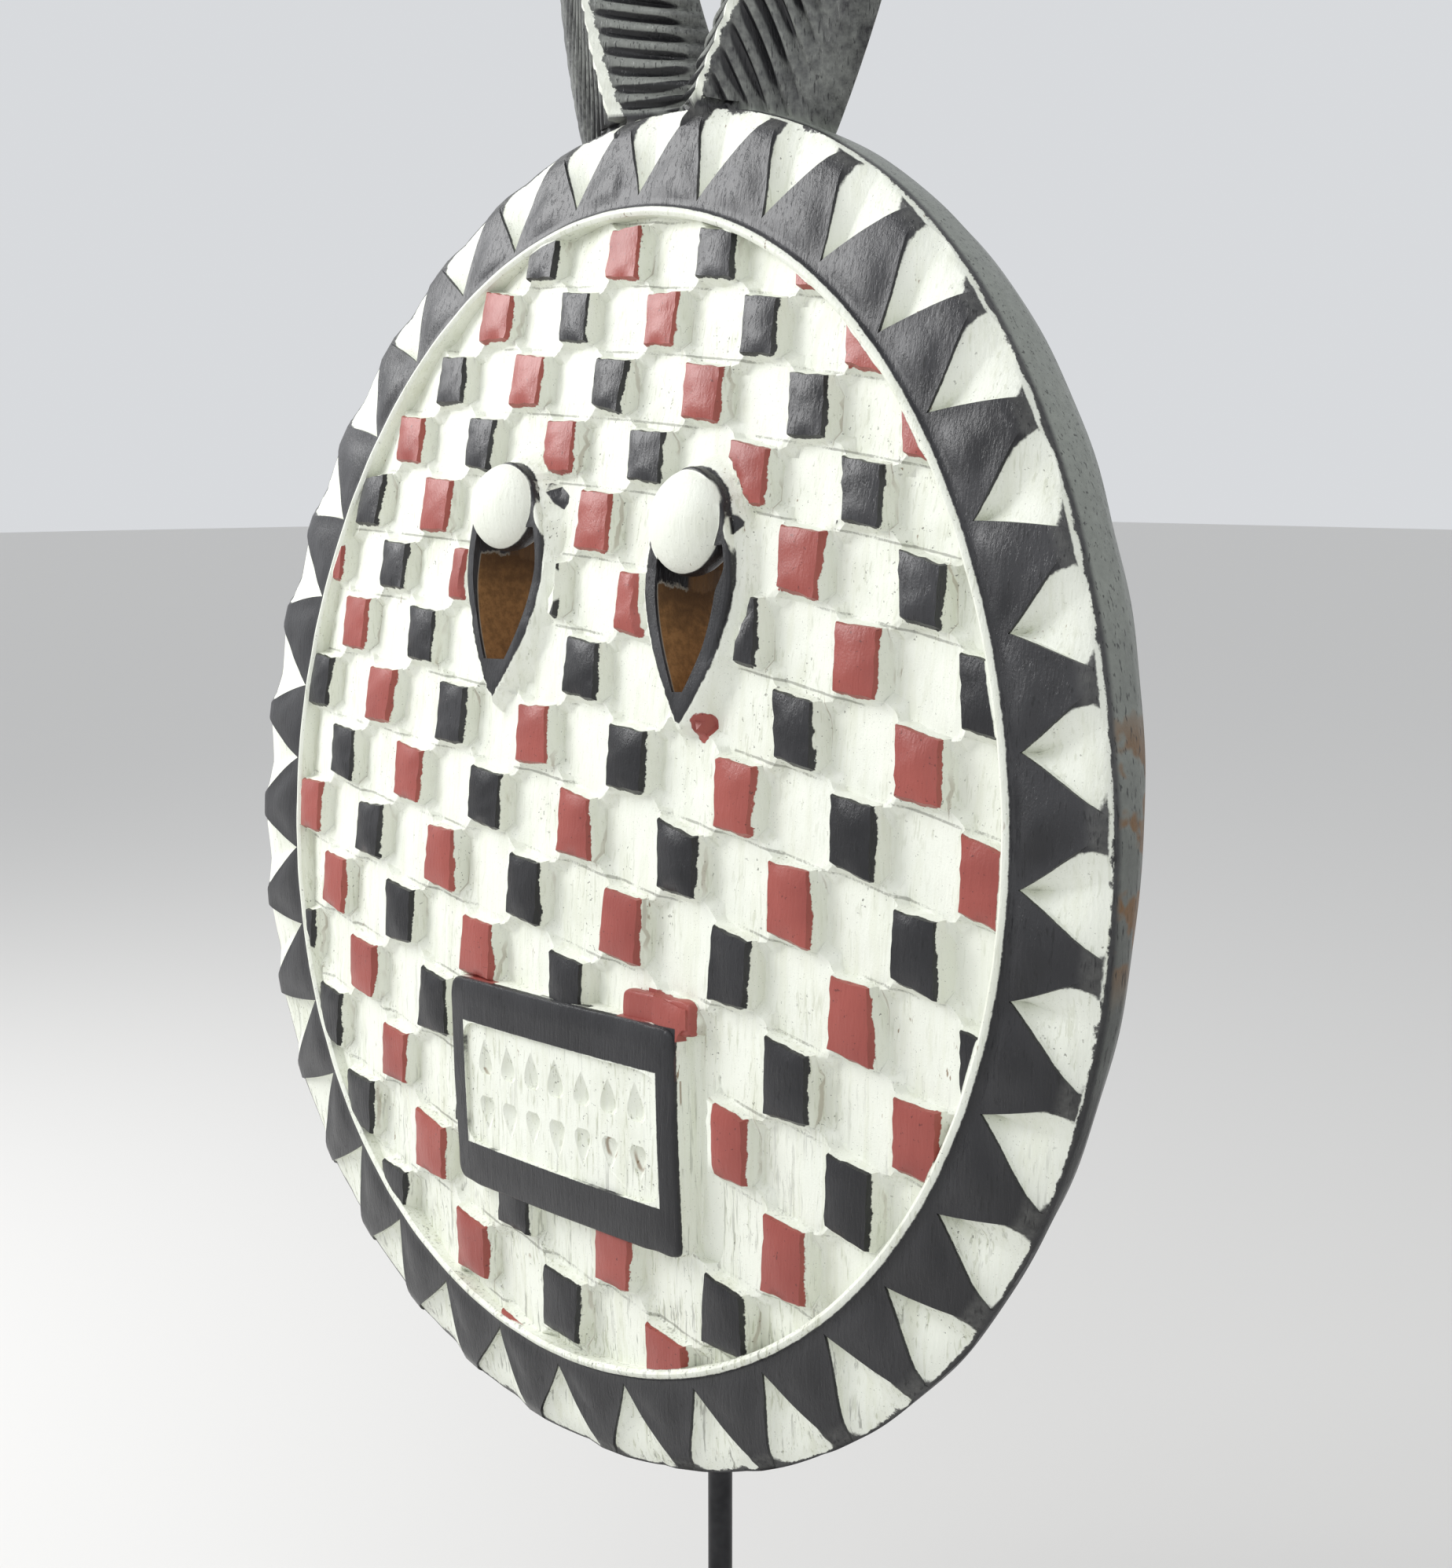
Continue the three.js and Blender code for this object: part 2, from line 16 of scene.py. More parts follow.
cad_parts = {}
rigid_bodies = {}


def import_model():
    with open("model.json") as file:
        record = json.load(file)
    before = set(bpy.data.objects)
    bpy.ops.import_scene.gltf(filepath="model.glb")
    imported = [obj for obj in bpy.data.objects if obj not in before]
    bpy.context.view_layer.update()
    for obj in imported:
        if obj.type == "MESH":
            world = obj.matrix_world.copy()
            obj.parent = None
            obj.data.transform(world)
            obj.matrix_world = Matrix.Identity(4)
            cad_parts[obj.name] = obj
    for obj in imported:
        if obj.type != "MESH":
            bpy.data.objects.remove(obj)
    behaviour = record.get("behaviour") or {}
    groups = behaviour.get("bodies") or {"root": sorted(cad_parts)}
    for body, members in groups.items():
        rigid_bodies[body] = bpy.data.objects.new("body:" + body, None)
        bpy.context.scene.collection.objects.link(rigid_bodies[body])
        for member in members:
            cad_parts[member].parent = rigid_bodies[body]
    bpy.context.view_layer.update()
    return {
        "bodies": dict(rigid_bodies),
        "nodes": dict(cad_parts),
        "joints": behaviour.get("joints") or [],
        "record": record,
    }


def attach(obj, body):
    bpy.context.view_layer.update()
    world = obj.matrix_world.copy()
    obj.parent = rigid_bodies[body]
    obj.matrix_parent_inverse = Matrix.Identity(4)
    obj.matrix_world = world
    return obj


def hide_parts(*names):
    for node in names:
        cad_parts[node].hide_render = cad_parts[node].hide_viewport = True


bl_info = {
    "name": "Goli Mask",
    "version": (1, 0, 0),
    "blender": (4, 5, 0),
    "location": "View3D > Sidebar > Goli Mask",
    "description": "Carves and paints a chequered disc mask with horns on its display stand",
    "category": "Object",
}

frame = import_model()

MM = 0.001

# The disc, in its own frame.
DISC_MIDDLE = Vector((0.00685, -0.038, 0.368))
LEAN = math.radians(5.4)
CAMERA_OFFSET = Vector((0.4621, -0.3314, 0.0960))
CAMERA_FORWARD = Vector((-0.7412, 0.6528, -0.1564))
DOME_RADIUS = 917
RIM_RADIUS = 196.5
FIELD_RADIUS = 167.3
SHELL = 21
BACK_Z = -48
BACK_ROUNDING = 16
BACK_RIM_WIDTH = 8
OVERLAP = 3
ROUND_STEPS = 720

# Outlines cut by eye: (turns, cosine part, sine part) of the radius, clockwise from the top.
RIM_WOBBLE = ((1, -0.4, -4.2), (2, 0, 3.5), (3, 4.4, 2.2))
FIELD_WOBBLE = ((1, 0.9, 4.0), (2, 2.9, 1.5), (3, 2.7, -0.5))

# Profiles across the rim: (step outwards, step back from the face).
RIDGE = ((-3.1, 12), (-3.0, -0.1), (-2.5, -0.75), (-1.9, -1.1), (-1.2, -1.0), (-0.5, -0.5), (-0.1, 0.05),
         (0.6, 0.35))
SIDE = ((-9, 0.15), (-5, 0.4), (-2.5, 1.0), (-0.4, 2.3), (1, 3.2), (1.8, 4.4), (1.6, 6.0), (0.2, 8.2),
        (-2.6, 11.0), (-7, 14.2), (-12.5, 17.4))
# How much of the side's profile is the fall of its front.
FRONT_STEPS = 6
# The wall is thicker at the upper right, from a step behind the face on.
EXTRA_THICKNESS = 14
THICKEST = math.radians(50)
EXTRA_FROM = 2.6
EXTRA_OVER = 4
# The hollow: (radius, extra depth) over its floor and (step in from its mouth, extra depth) up its wall.
HOLLOW_STEPS = 180
HOLLOW_FLOOR = ((30, 0), (60, 0), (90, 0), (120, 0.3))
HOLLOW_WALL = ((32, 0.6), (20, 1.2), (11, 2.4), (4, 5))

# What the carver's hand leaves: height and length of a slow wave, and where it starts.
HAND = {
    "ridge": (0.12, 23, 0),
    "ring": (0.25, 31, 0),
    "side": (0.45, 47, 0),
    "hollow": (0.7, 38, 0),
    "floor": (0.28, 13, 0),
    "gouge": (0.12, 5.3, 1.7),
    "cell across": (0.32, 9.5, 0.6),
    "cell up": (0.32, 11, 3.0),
    "frame across": (0.35, 17, 0),
    "frame up": (0.35, 19, 1),
}
# Radii that turn angles into lengths along the ridge and the side, and how much faster a wave runs
# down the side and by which depth it is there in full.
RIDGE_TRACK = 160
SIDE_TRACK = 195
SIDE_STRETCH = 3
SIDE_EASE = 8

# The chequered field.
FIELD_CELLS = 8
CELL_ORIGIN = (20, 17.3)
CELL_X = {"u": 21.93, "v": -0.33, "uu": -0.26, "uv": -0.24, "vv": -0.19}
CELL_Y = {"u": -1.78, "v": 22.1, "uu": -0.08, "uv": 0.03, "vv": -0.24}
# Where the rows are drawn aside: middle, reach, and most it moves them.
PULLS = (((45, 78), 62, (-3.2, 0.5)), ((45, 28), 80, (-0.8, 2.0)))
FACE_HALF = 0.31
FACE_TOP = 0.38
FACE_BOTTOM = 0.345
FACE_GROWTH = 0.025
CORNER_SLOPE = 0.66
FLOOR_HALF = 0.46
FACE_STEPS = 7
# Where the steps of the fine grid lie across a wall, from the raised block to the sunk cell.
WALL_SHARES = (0, 0.09, 0.19, 0.28, 0.37, 0.5, 0.66, 0.83, 1.0)
# The pillow of a raised face: its height, how much lower it is at the ends, and how late it falls there.
FACE_PILLOW = 0.8
PILLOW_DROP = 0.3
PILLOW_POWER = 10
# How much one face or floor differs from the next.
UNEVEN_FACE = 0.3
UNEVEN_FLOOR = 0.6
UNEVEN_FROM = 4
# The cut round a raised block, in cells: a steep wall to its right, a slope above it, a wider bevel
# below it, and a floor that comes up to its left side and ends there in a low step.
FLOOR_DEPTH = 6.2
RIGHT_WALL = 0.064
TOP_SLOPE = 0.08
BEVEL = 0.17
LEFT_STEP = 2.4
LEFT_EDGE = 0.05
RAMP = 1.3
DEEPEST_CUT = 9.0
SLAB_ROOT = 8
COLUMN_ENDS = (-60, 20)
CORNER_JITTER = 0.042

# The ring of triangles.
TEETH = 36
TOOTH_START = math.radians(4.3)
TOOTH_DRIFT = ((1, 2.4, -1.0), (2, 0.6, -0.3), (3, 0.1, -1.4))
TOOTH_GAP = math.radians(0.4)
# The crown over each black tooth: its height, how wide it starts, and where it eases in and out.
TOOTH_PILLOW = 1.0
CROWN_SPAN = 1.05
CROWN_IN = 0.3
CROWN_OUT = 0.5
RING_SHARES = (0.1, 0.22, 0.34, 0.46, 0.58, 0.7, 0.82)
CHIP_POINT_DEPTH = 5.6
CHIP_RIM_DEPTH = 3.0
CHIP_INSET = 2.8
CHIP_SLOPE = 0.6
CHIP_CREASE = 0.36
CHIP_RIGHT = 0.5
FALL_SHARE = 0.62
CHIP_SHARES = (0.03, 0.1, 0.2, 0.32, 0.45, 0.58, 0.7, 0.82, 0.92, 1.0, 1.1)
# Across a chip, on the left and right of its crease: (part of the way, part of the depth).
CHIP_LEFT_SIDE = ((0.3, 0.52), (0.65, 0.78), (0.95, 0.98), (1, 1))
CHIP_RIGHT_SIDE = ((0.12, 0.97), (0.4, 0.86), (0.7, 0.72), (1, CHIP_RIGHT))
ABOVE_FACE = 3
CHIP_DEEPENING = 0.8
CHIP_FOOT = 0.3
# How much one chip differs from the next.
CHIP_HAND = {
    "gap": 0.5,
    "middle": 0.01,
    "inset": 1.1,
    "point": 0.5,
    "rim": 0.4,
    "crease": 0.05,
    "floor": 0.15,
}

# The eyes: a pointed drop with a slot in its lower part, and an egg-shaped lid over the upper part.
EYES = (
    {"x": -26, "top": 99.8, "turn": 0.05, "half": 19, "shoulder": 33, "height": 70,
     "rims": (2.6, 3.6), "slot_end": 11.5,
     "lid": {"across": -1.8, "drop": 13, "radii": (16.0, 13.2, 9)}},
    {"x": 56, "top": 98.5, "turn": 0.1, "half": 16.8, "shoulder": 31, "height": 69.3,
     "rims": (1.8, 5.2), "slot_end": 9.0,
     "lid": {"across": -1.5, "drop": 14.6, "radii": (15.4, 14.6, 9)}},
)
DROP_TAPER = 1.6
DROP_HOOK = 2.2
DROP_RIM = 3.4
DROP_RISE = 1.0
# Profile of the drop's raised rim: (step in from the outline, height against its top).
RIM_ROOT = 12
RIM_PROFILE = ((-0.1, -RIM_ROOT), (-0.1, -1.2), (0.1, -0.5), (0.5, -0.15), (1.1, 0))
LID_SUNK = 0.35
LID_SIDES = 64
LID_RISES = np.radians(np.linspace(-80, 84, 22))
LID_SHARE = 0.935
# The slot: its narrowest width, and (height, slant of its left side) from behind to in front.
SLOT_LEAST = 1.5
SLOT_LEVELS = ((-70, 9), (0, 0), (20, 0))
SLOT_STEPS = 30
LID_LINE = 1.5
COLLAR_WIDTH = 5.5
COLLAR_DEPTH = 4.4
COLLAR_LIP = 0.3
RIM_SPILL = 0.4

# Marks of paint beside the eyes: outlines of two black ones, and a red one's middle and radius.
BLACK_MARKS = (((-12, 94.5), (-7, 93), (-1.5, 90), (-5, 86.5), (-9, 90)),
               ((69.4, 87), (71, 86.4), (71.8, 84.4), (74, 86.8), (74.8, 82.4), (73, 80.8), (69.8, 81.6)))
RED_MARK = ((66.6, 29.2), 4.1)
# A block that has lost its own paint: its middle across and up, and how far round it.
BARE_PLACE = (68, 29, 11)

# The mouth.
MOUTH_MIDDLE = (15.7, -87.3)
MOUTH_TURN = math.radians(2.5)
MOUTH_SIZE = (105, 65)
MOUTH_PANEL = (91, 38)
MOUTH_RISE = 1.8
PANEL_DEPTH = 1.4
MOUTH_TEETH = 7
MOUTH_SEAT = 8
MOUTH_BASE = 12
IN_FRONT = -12
BLOCK_STEPS = 160
BLOCK_CORNER = 3.2
# The red block: how far it goes down, how far it sinks in, and its softened edges.
CORNER_BLOCK_ROOT = 11
CORNER_BLOCK_SUNK = 0.4
CORNER_BLOCK_EDGES = {"edge": 0.7, "outset": 0.6, "corner": 1.2}
# The leaf-shaped cuts between the teeth: half width, near and far end, and depth below the panel.
LEAF_HALF = 4.2
LEAF_ENDS = (3.0, 14.4)
LEAF_DEPTH = 2.7
LEAF_ACROSS = (-1, -1, -0.5, 0.0, 0.5, 1, 1)
LEAF_SHARES = np.linspace(0.04, 0.96, 9)
LEAF_FULLNESS = 0.85
# How much one leaf's width, length and lean differ from the next one's.
LEAF_HAND = (0.3, 0.8, 0.5)
# Beside the mouth, a channel and a red block on its corner: middle across and up, width and height.
CHANNEL = {"middle": (57.5, 0), "size": (12, 65), "depth": 6}
CORNER_BLOCK = {"middle": (43.5, 35.2), "size": (27, 10)}

# The horns.
HORN_MIDDLE = 6.5
HORN_FOOT = (14, 195)
HORN_LENGTH = 310
HORN_START = math.radians(32)
HORN_END = math.radians(-28)
HORN_Z = -44
HORN_TAPER = 0.82
HORN_TAPER_POWER = 1.6
HORN_INNER = ((-28, 0), (-25.5, 5), (-20, 10), (-11, 15.5), (0, 23))
HORN_OUTER = ((0, 23), (11, 17), (22, 12), (32, 6.2), (38, 0))
HORN_BACK = ((35, -2.6), (29, -3.6), (-20, -3.6), (-26, -2.4))
INNER_STEPS = 14
OUTER_STEPS = 16
GROOVE_PITCH = 6.5
GROOVE_DEPTH = 2.5
GROOVED_PART = 0.62
GROOVE_FADE = 22
# How far the grooves leave their even pitch, and how fast that comes and goes.
GROOVE_STRAY = 0.12
STRAY_RATE = 0.11
TIP_ROUND = 16
TIP_LENGTH = 4
SLANT_OUT = 0.95
SLANT_IN = 0.68
SLANT_RAMP = (42, 60)
ROOT = 22
GROOVE_SAMPLES = 8
GROOVE_SHARPNESS = 1.3
GROOVE_NARROWING = 0.03


def wobble(terms, angle):
    return sum(c * np.cos(turns * angle) + s * np.sin(turns * angle) for turns, c, s in terms)


def rim_at(angle):
    return RIM_RADIUS + wobble(RIM_WOBBLE, angle)


def field_at(angle):
    return FIELD_RADIUS + wobble(FIELD_WOBBLE, angle)


def dome_z(x, y):
    return -(x * x + y * y) / (2 * DOME_RADIUS)


def polar(angle, radius, depth):
    """Points of the disc at a clockwise angle from the top, a radius and a depth below the dome."""
    x = radius * np.sin(angle)
    y = radius * np.cos(angle)
    return np.stack([x, y, dome_z(x, y) - depth], axis=-1)


def bend(k, u, v):
    return k["uu"] * u * u + k["uv"] * u * v + k["vv"] * v * v


def pull(x, y):
    """How far the rows near the eyes are drawn off their places."""
    shift_x = shift_y = 0.0
    for (middle_x, middle_y), reach, (most_x, most_y) in PULLS:
        share = np.exp(-((x - middle_x) ** 2 + (y - middle_y) ** 2) / reach ** 2)
        shift_x = shift_x + most_x * share
        shift_y = shift_y + most_y * share
    return shift_x, shift_y


def from_cells(u, v):
    """Millimetres across and up the disc for a place given in cells."""
    x = CELL_ORIGIN[0] + CELL_X["u"] * u + CELL_X["v"] * v + bend(CELL_X, u, v)
    y = CELL_ORIGIN[1] + CELL_Y["u"] * u + CELL_Y["v"] * v + bend(CELL_Y, u, v)
    shift_x, shift_y = pull(x, y)
    return x + shift_x, y + shift_y


def to_cells(x, y):
    """The place in cells for millimetres across and up the disc."""
    moved_x, moved_y = x, y
    for _ in range(3):
        shift_x, shift_y = pull(moved_x, moved_y)
        moved_x, moved_y = x - shift_x, y - shift_y
    x, y = moved_x, moved_y
    across, up = x - CELL_ORIGIN[0], y - CELL_ORIGIN[1]
    whole = CELL_X["u"] * CELL_Y["v"] - CELL_X["v"] * CELL_Y["u"]
    u = v = np.zeros_like(x)
    for _ in range(8):
        a, b = across - bend(CELL_X, u, v), up - bend(CELL_Y, u, v)
        u = (a * CELL_Y["v"] - b * CELL_X["v"]) / whole
        v = (b * CELL_X["u"] - a * CELL_Y["u"]) / whole
    return u, v


def jitter(a, b, salt=0.0):
    """A repeatable offset from -1 to 1 for whole numbers a and b."""
    wave = np.sin(a * 12.9898 + b * 78.233 + salt * 37.719) * 43758.5453
    return 2 * (wave - np.floor(wave)) - 1


def smooth(t):
    t = np.clip(t, 0, 1)
    return t * t * (3 - 2 * t)


def hand_wave(x, y, length, salt=0.0):
    """A slow wave from -1 to 1 over the surface, for edges and floors cut by hand."""
    k = 2 * math.pi / length
    return (np.sin(k * (x + 0.4 * y) + salt) + np.sin(k * (1.3 * y - 0.5 * x) + 2.1 + salt)
            + np.sin(k * 1.9 * (0.7 * x - y) + 4.2 + salt)) / 3


def rough(kind, x, y):
    """The offset that the carver's hand leaves on one kind of surface."""
    height, length, salt = HAND[kind]
    return height * hand_wave(x, y, length, salt)


def level(x, y, z):
    """Points at the given places across and up, all at one height."""
    return np.stack([x, y, np.full_like(x, z)], axis=-1)


def signed_volume(points, faces):
    total = 0.0
    for face in faces:
        corners = points[np.asarray(face)]
        fan = np.cross(corners[1:-1], corners[2:])
        total += float(np.sum(fan @ corners[0]))
    return total


def solid(name, points, faces):
    """A closed mesh object with its faces turned outwards."""
    points = np.asarray(points, dtype=float)
    if signed_volume(points, faces) < 0:
        faces = [tuple(reversed(face)) for face in faces]
    mesh = bpy.data.meshes.new(name)
    mesh.from_pydata(points.tolist(), [], faces)
    mesh.update()
    made = bpy.data.objects.new(name, mesh)
    bpy.context.scene.collection.objects.link(made)
    return made


def skin(start, rings, end):
    """Points and faces of a closed skin over rings of equal length, from one end point to the other."""
    rings = np.asarray(rings, dtype=float)
    rows, count = rings.shape[:2]
    points = np.concatenate([[start], rings.reshape(-1, 3), [end]])
    last = len(points) - 1
    faces = []
    for k in range(count):
        after = (k + 1) % count
        faces.append((0, 1 + k, 1 + after))
        for row in range(rows - 1):
            base, above = 1 + row * count, 1 + (row + 1) * count
            faces.append((base + k, above + k, above + after, base + after))
        faces.append((last, last - count + after, last - count + k))
    return points, faces


def capped(rings):
    """The same, with its end points in the middle of the first and the last ring."""
    return skin(rings[0].mean(axis=0), rings, rings[-1].mean(axis=0))


def joined(name, parts):
    """One mesh object from several separate closed skins."""
    points, faces, offset = [], [], 0
    for part_points, part_faces in parts:
        if signed_volume(part_points, part_faces) < 0:
            part_faces = [tuple(reversed(face)) for face in part_faces]
        points.append(part_points)
        faces += [tuple(k + offset for k in face) for face in part_faces]
        offset += len(part_points)
    return solid(name, np.concatenate(points), faces)


def combine(body, tool, operation):
    """Joins the tool to the body, cuts it away or keeps what both share, and deletes the tool."""
    change = body.modifiers.new("carve", "BOOLEAN")
    change.operation = operation
    change.solver = "MANIFOLD"
    change.object = tool
    scene = bpy.context.evaluated_depsgraph_get()
    carved = bpy.data.meshes.new_from_object(body.evaluated_get(scene))
    body.modifiers.clear()
    old = body.data
    body.data = carved
    bpy.data.meshes.remove(old)
    spent = tool.data
    bpy.data.objects.remove(tool)
    bpy.data.meshes.remove(spent)
    if len(carved.polygons) == 0:
        raise RuntimeError("nothing is left after " + operation)
    return body


def round_angles():
    return np.arange(ROUND_STEPS) * 2 * math.pi / ROUND_STEPS


def mouth_radius(angle):
    return rim_at(angle) - BACK_ROUNDING - BACK_RIM_WIDTH


def wall_drop(angle, back):
    """How far a ring of the side wall lies behind the face."""
    extra = EXTRA_THICKNESS * np.maximum(0, np.cos(angle - THICKEST)) ** 2
    return back + extra * np.clip((back - EXTRA_FROM) / EXTRA_OVER, 0, 1)


def disc_block():
    """The disc before it is carved: basin, ridge, ring, rounded side and flat back."""
    angle = round_angles()
    rings = [polar(angle, field_at(angle) + out, depth + rough("ridge", angle * RIDGE_TRACK, 0 * angle))
             for out, depth in RIDGE]
    inner = field_at(angle) + RIDGE[-1][0]
    outer = rim_at(angle) + SIDE[0][0]
    tooth = np.array([tooth_angle(k) for k in range(TEETH + 1)])
    off_tooth = np.abs(angle[:, None] - tooth).min(axis=1) * TEETH / math.pi
    for share in RING_SHARES:
        fall = RIDGE[-1][1] * (1 - share) + SIDE[0][1] * share
        ring = polar(angle, inner + (outer - inner) * share, fall)
        ring[:, 2] += rough("ring", ring[:, 0], ring[:, 1])
        crown = np.maximum(0, 1 - (off_tooth / (CROWN_SPAN - share)) ** 2)
        ring[:, 2] += TOOTH_PILLOW * crown * smooth(share / CROWN_IN) * smooth((1 - share) / CROWN_OUT)
        rings.append(ring)
    for out, back in SIDE:
        edge = polar(angle, rim_at(angle), 0)
        wave = rough("side", angle * SIDE_TRACK, back * SIDE_STRETCH + 0 * angle) * smooth(back / SIDE_EASE)
        ring = polar(angle, rim_at(angle) + out + wave, 0)
        ring[:, 2] = np.maximum(ring[:, 2], edge[:, 2]) - wall_drop(angle, back)
        rings.append(ring)
    for inwards in (BACK_ROUNDING, BACK_ROUNDING + BACK_RIM_WIDTH + OVERLAP):
        ring = polar(angle, rim_at(angle) - inwards, 0)
        ring[:, 2] = BACK_Z
        rings.append(ring)
    points, faces = skin(polar(0.0, 0.0, RIDGE[0][1]), rings, (0, 0, BACK_Z))
    return solid("block", points, faces)


def hollow():
    """What is carved out behind the shell."""
    angle = np.arange(HOLLOW_STEPS) * 2 * math.pi / HOLLOW_STEPS
    mouth = mouth_radius(angle)
    profile = [(radius + 0 * mouth, extra) for radius, extra in HOLLOW_FLOOR]
    profile += [(mouth - inwards, extra) for inwards, extra in HOLLOW_WALL]
    rings = []
    for radius, extra in profile:
        stray = rough("hollow", radius * np.sin(angle), radius * np.cos(angle))
        rings.append(polar(angle, radius, SHELL + extra + stray))
    rim = polar(angle, mouth, 0)
    rim[:, 2] = BACK_Z - 1
    return solid("hollow", *skin(polar(0.0, 0.0, SHELL), rings + [rim], (0, 0, BACK_Z - 1)))


def spread(nodes):
    """Parameters along a row of nodes, with the steps of a face and of a wall taking turns."""
    wall_steps = len(WALL_SHARES) - 1
    places = []
    for k in range(nodes - 1):
        count = FACE_STEPS if k % 2 == 0 else wall_steps
        places += [k + step / count for step in range(count)]
    return np.array(places + [nodes - 1.0])


def drop_half(eye, down):
    """Half the drop's width at a distance below its top."""
    rise = 1 - down / eye["shoulder"]
    upper = eye["half"] * np.sqrt(np.maximum(0, 1 - rise * rise))
    share = np.maximum(0, down - eye["shoulder"]) / (eye["height"] - eye["shoulder"])
    lower = eye["half"] * (1 - share ** DROP_TAPER)
    return np.where(down < eye["shoulder"], upper, lower)


def eye_place(eye, across, down):
    """Millimetres across and up the disc, for a place across and down from an eye's top."""
    hook = (np.maximum(0, down - eye["shoulder"]) / (eye["height"] - eye["shoulder"])) ** 2
    across = across - DROP_HOOK * hook
    x = eye["x"] + across * math.cos(eye["turn"]) + down * math.sin(eye["turn"])
    y = eye["top"] + across * math.sin(eye["turn"]) - down * math.cos(eye["turn"])
    return x, y


def eye_across(eye, x, y):
    """How far places lie to the right of an eye's middle line, and how far down."""
    x, y = x - eye["x"], y - eye["top"]
    across = x * math.cos(eye["turn"]) + y * math.sin(eye["turn"])
    return across, x * math.sin(eye["turn"]) - y * math.cos(eye["turn"])


def eye_outline(eye, margin, count):
    """The drop's outline round an eye, drawn in by a margin."""
    down = (1 - np.cos(np.linspace(0, math.pi, count))) * 0.5 * eye["height"]
    half = drop_half(eye, down)
    across = np.concatenate([half, -half[-2:0:-1]])
    below = np.concatenate([down, down[-2:0:-1]])
    if margin:
        before = np.stack([np.roll(across, 1), np.roll(below, 1)])
        after = np.stack([np.roll(across, -1), np.roll(below, -1)])
        along = after - before
        along /= np.maximum(np.linalg.norm(along, axis=0), 1e-9)
        across = across - along[1] * margin
        below = below + along[0] * margin
    return eye_place(eye, across, below)


def outline_distance(x, y, outline_x, outline_y):
    """Signed distance of points from a closed outline, negative inside it."""
    nearest = np.full(x.shape, 1e9)
    crossings = np.zeros(x.shape, dtype=int)
    for k in range(len(outline_x)):
        ax, ay = outline_x[k - 1], outline_y[k - 1]
        bx, by = outline_x[k], outline_y[k]
        dx, dy = bx - ax, by - ay
        t = np.clip(((x - ax) * dx + (y - ay) * dy) / max(dx * dx + dy * dy, 1e-12), 0, 1)
        nearest = np.minimum(nearest, np.hypot(x - ax - t * dx, y - ay - t * dy))
        spans = (ay > y) != (by > y)
        if abs(dy) > 1e-12:
            crossings += spans & (x < ax + (y - ay) * dx / dy)
    return np.where(crossings % 2 == 1, -nearest, nearest)


def eye_distance(x, y):
    return np.minimum(*[outline_distance(x, y, *eye_outline(eye, margin=0, count=40)) for eye in EYES])


def crowd(part, left_is_raised):
    """Shares across a strip between two cells, crowded towards the raised one."""
    even = np.linspace(0, 1, len(WALL_SHARES))
    from_left = np.interp(part, even, WALL_SHARES)
    from_right = 1 - np.interp(1 - part, even, WALL_SHARES)
    return np.where(left_is_raised, from_left, from_right)


def growth(number):
    """What is added at a raised block's top and bottom; the blocks of the right-hand columns are taller."""
    return FACE_GROWTH * smooth((number - 1) / 3)


def block_depth(right, above, grown):
    """Depth of the cut round one raised block, at a place to its right and above its middle in cells."""
    away = np.maximum(0, -FACE_HALF - right)
    spread_out = CORNER_SLOPE * away + grown
    wall = (right - FACE_HALF) / RIGHT_WALL * FLOOR_DEPTH
    slope = (above - FACE_TOP - spread_out) / TOP_SLOPE * FLOOR_DEPTH
    bevel = (-FACE_BOTTOM - spread_out - above) / BEVEL * FLOOR_DEPTH
    ramp = LEFT_STEP * smooth(away / LEFT_EDGE) + (FLOOR_DEPTH - LEFT_STEP) * away / RAMP
    return np.maximum(np.maximum(wall, slope), np.maximum(bevel, ramp))


def field_depth(u, v):
    """Depth of the carving below the dome at a place in cells."""
    base_u, base_v = np.rint(u), np.rint(v)
    depth = np.full(u.shape, DEEPEST_CUT)
    for step_u in (-2, -1, 0, 1, 2):
        for step_v in (-1, 0, 1):
            cell_u, cell_v = base_u + step_u, base_v + step_v
            cut = block_depth(u - cell_u, v - cell_v, growth(cell_u))
            depth = np.where((cell_u + cell_v) % 2 == 1, np.minimum(depth, cut), depth)
    inner_u = (u - base_u) / FACE_HALF
    half = (FACE_TOP + FACE_BOTTOM) / 2 + growth(base_u)
    inner_v = (v - base_v - (FACE_TOP - FACE_BOTTOM) / 2) / half
    bowl = np.maximum(0, np.cos(math.pi * (u - base_u)) * np.cos(math.pi * (v - base_v)))
    face = -FACE_PILLOW * np.maximum(0, 1 - inner_u ** 2) * (1 - PILLOW_DROP * np.minimum(1, inner_v ** 2))
    face = face * np.maximum(0, 1 - np.abs(inner_v) ** PILLOW_POWER)
    face = face + UNEVEN_FACE * bowl * jitter(base_u, base_v, 4)
    floor = depth + UNEVEN_FLOOR * bowl * jitter(base_u, base_v, 3) * smooth(depth / UNEVEN_FROM)
    return np.where(depth > 0, floor, face)


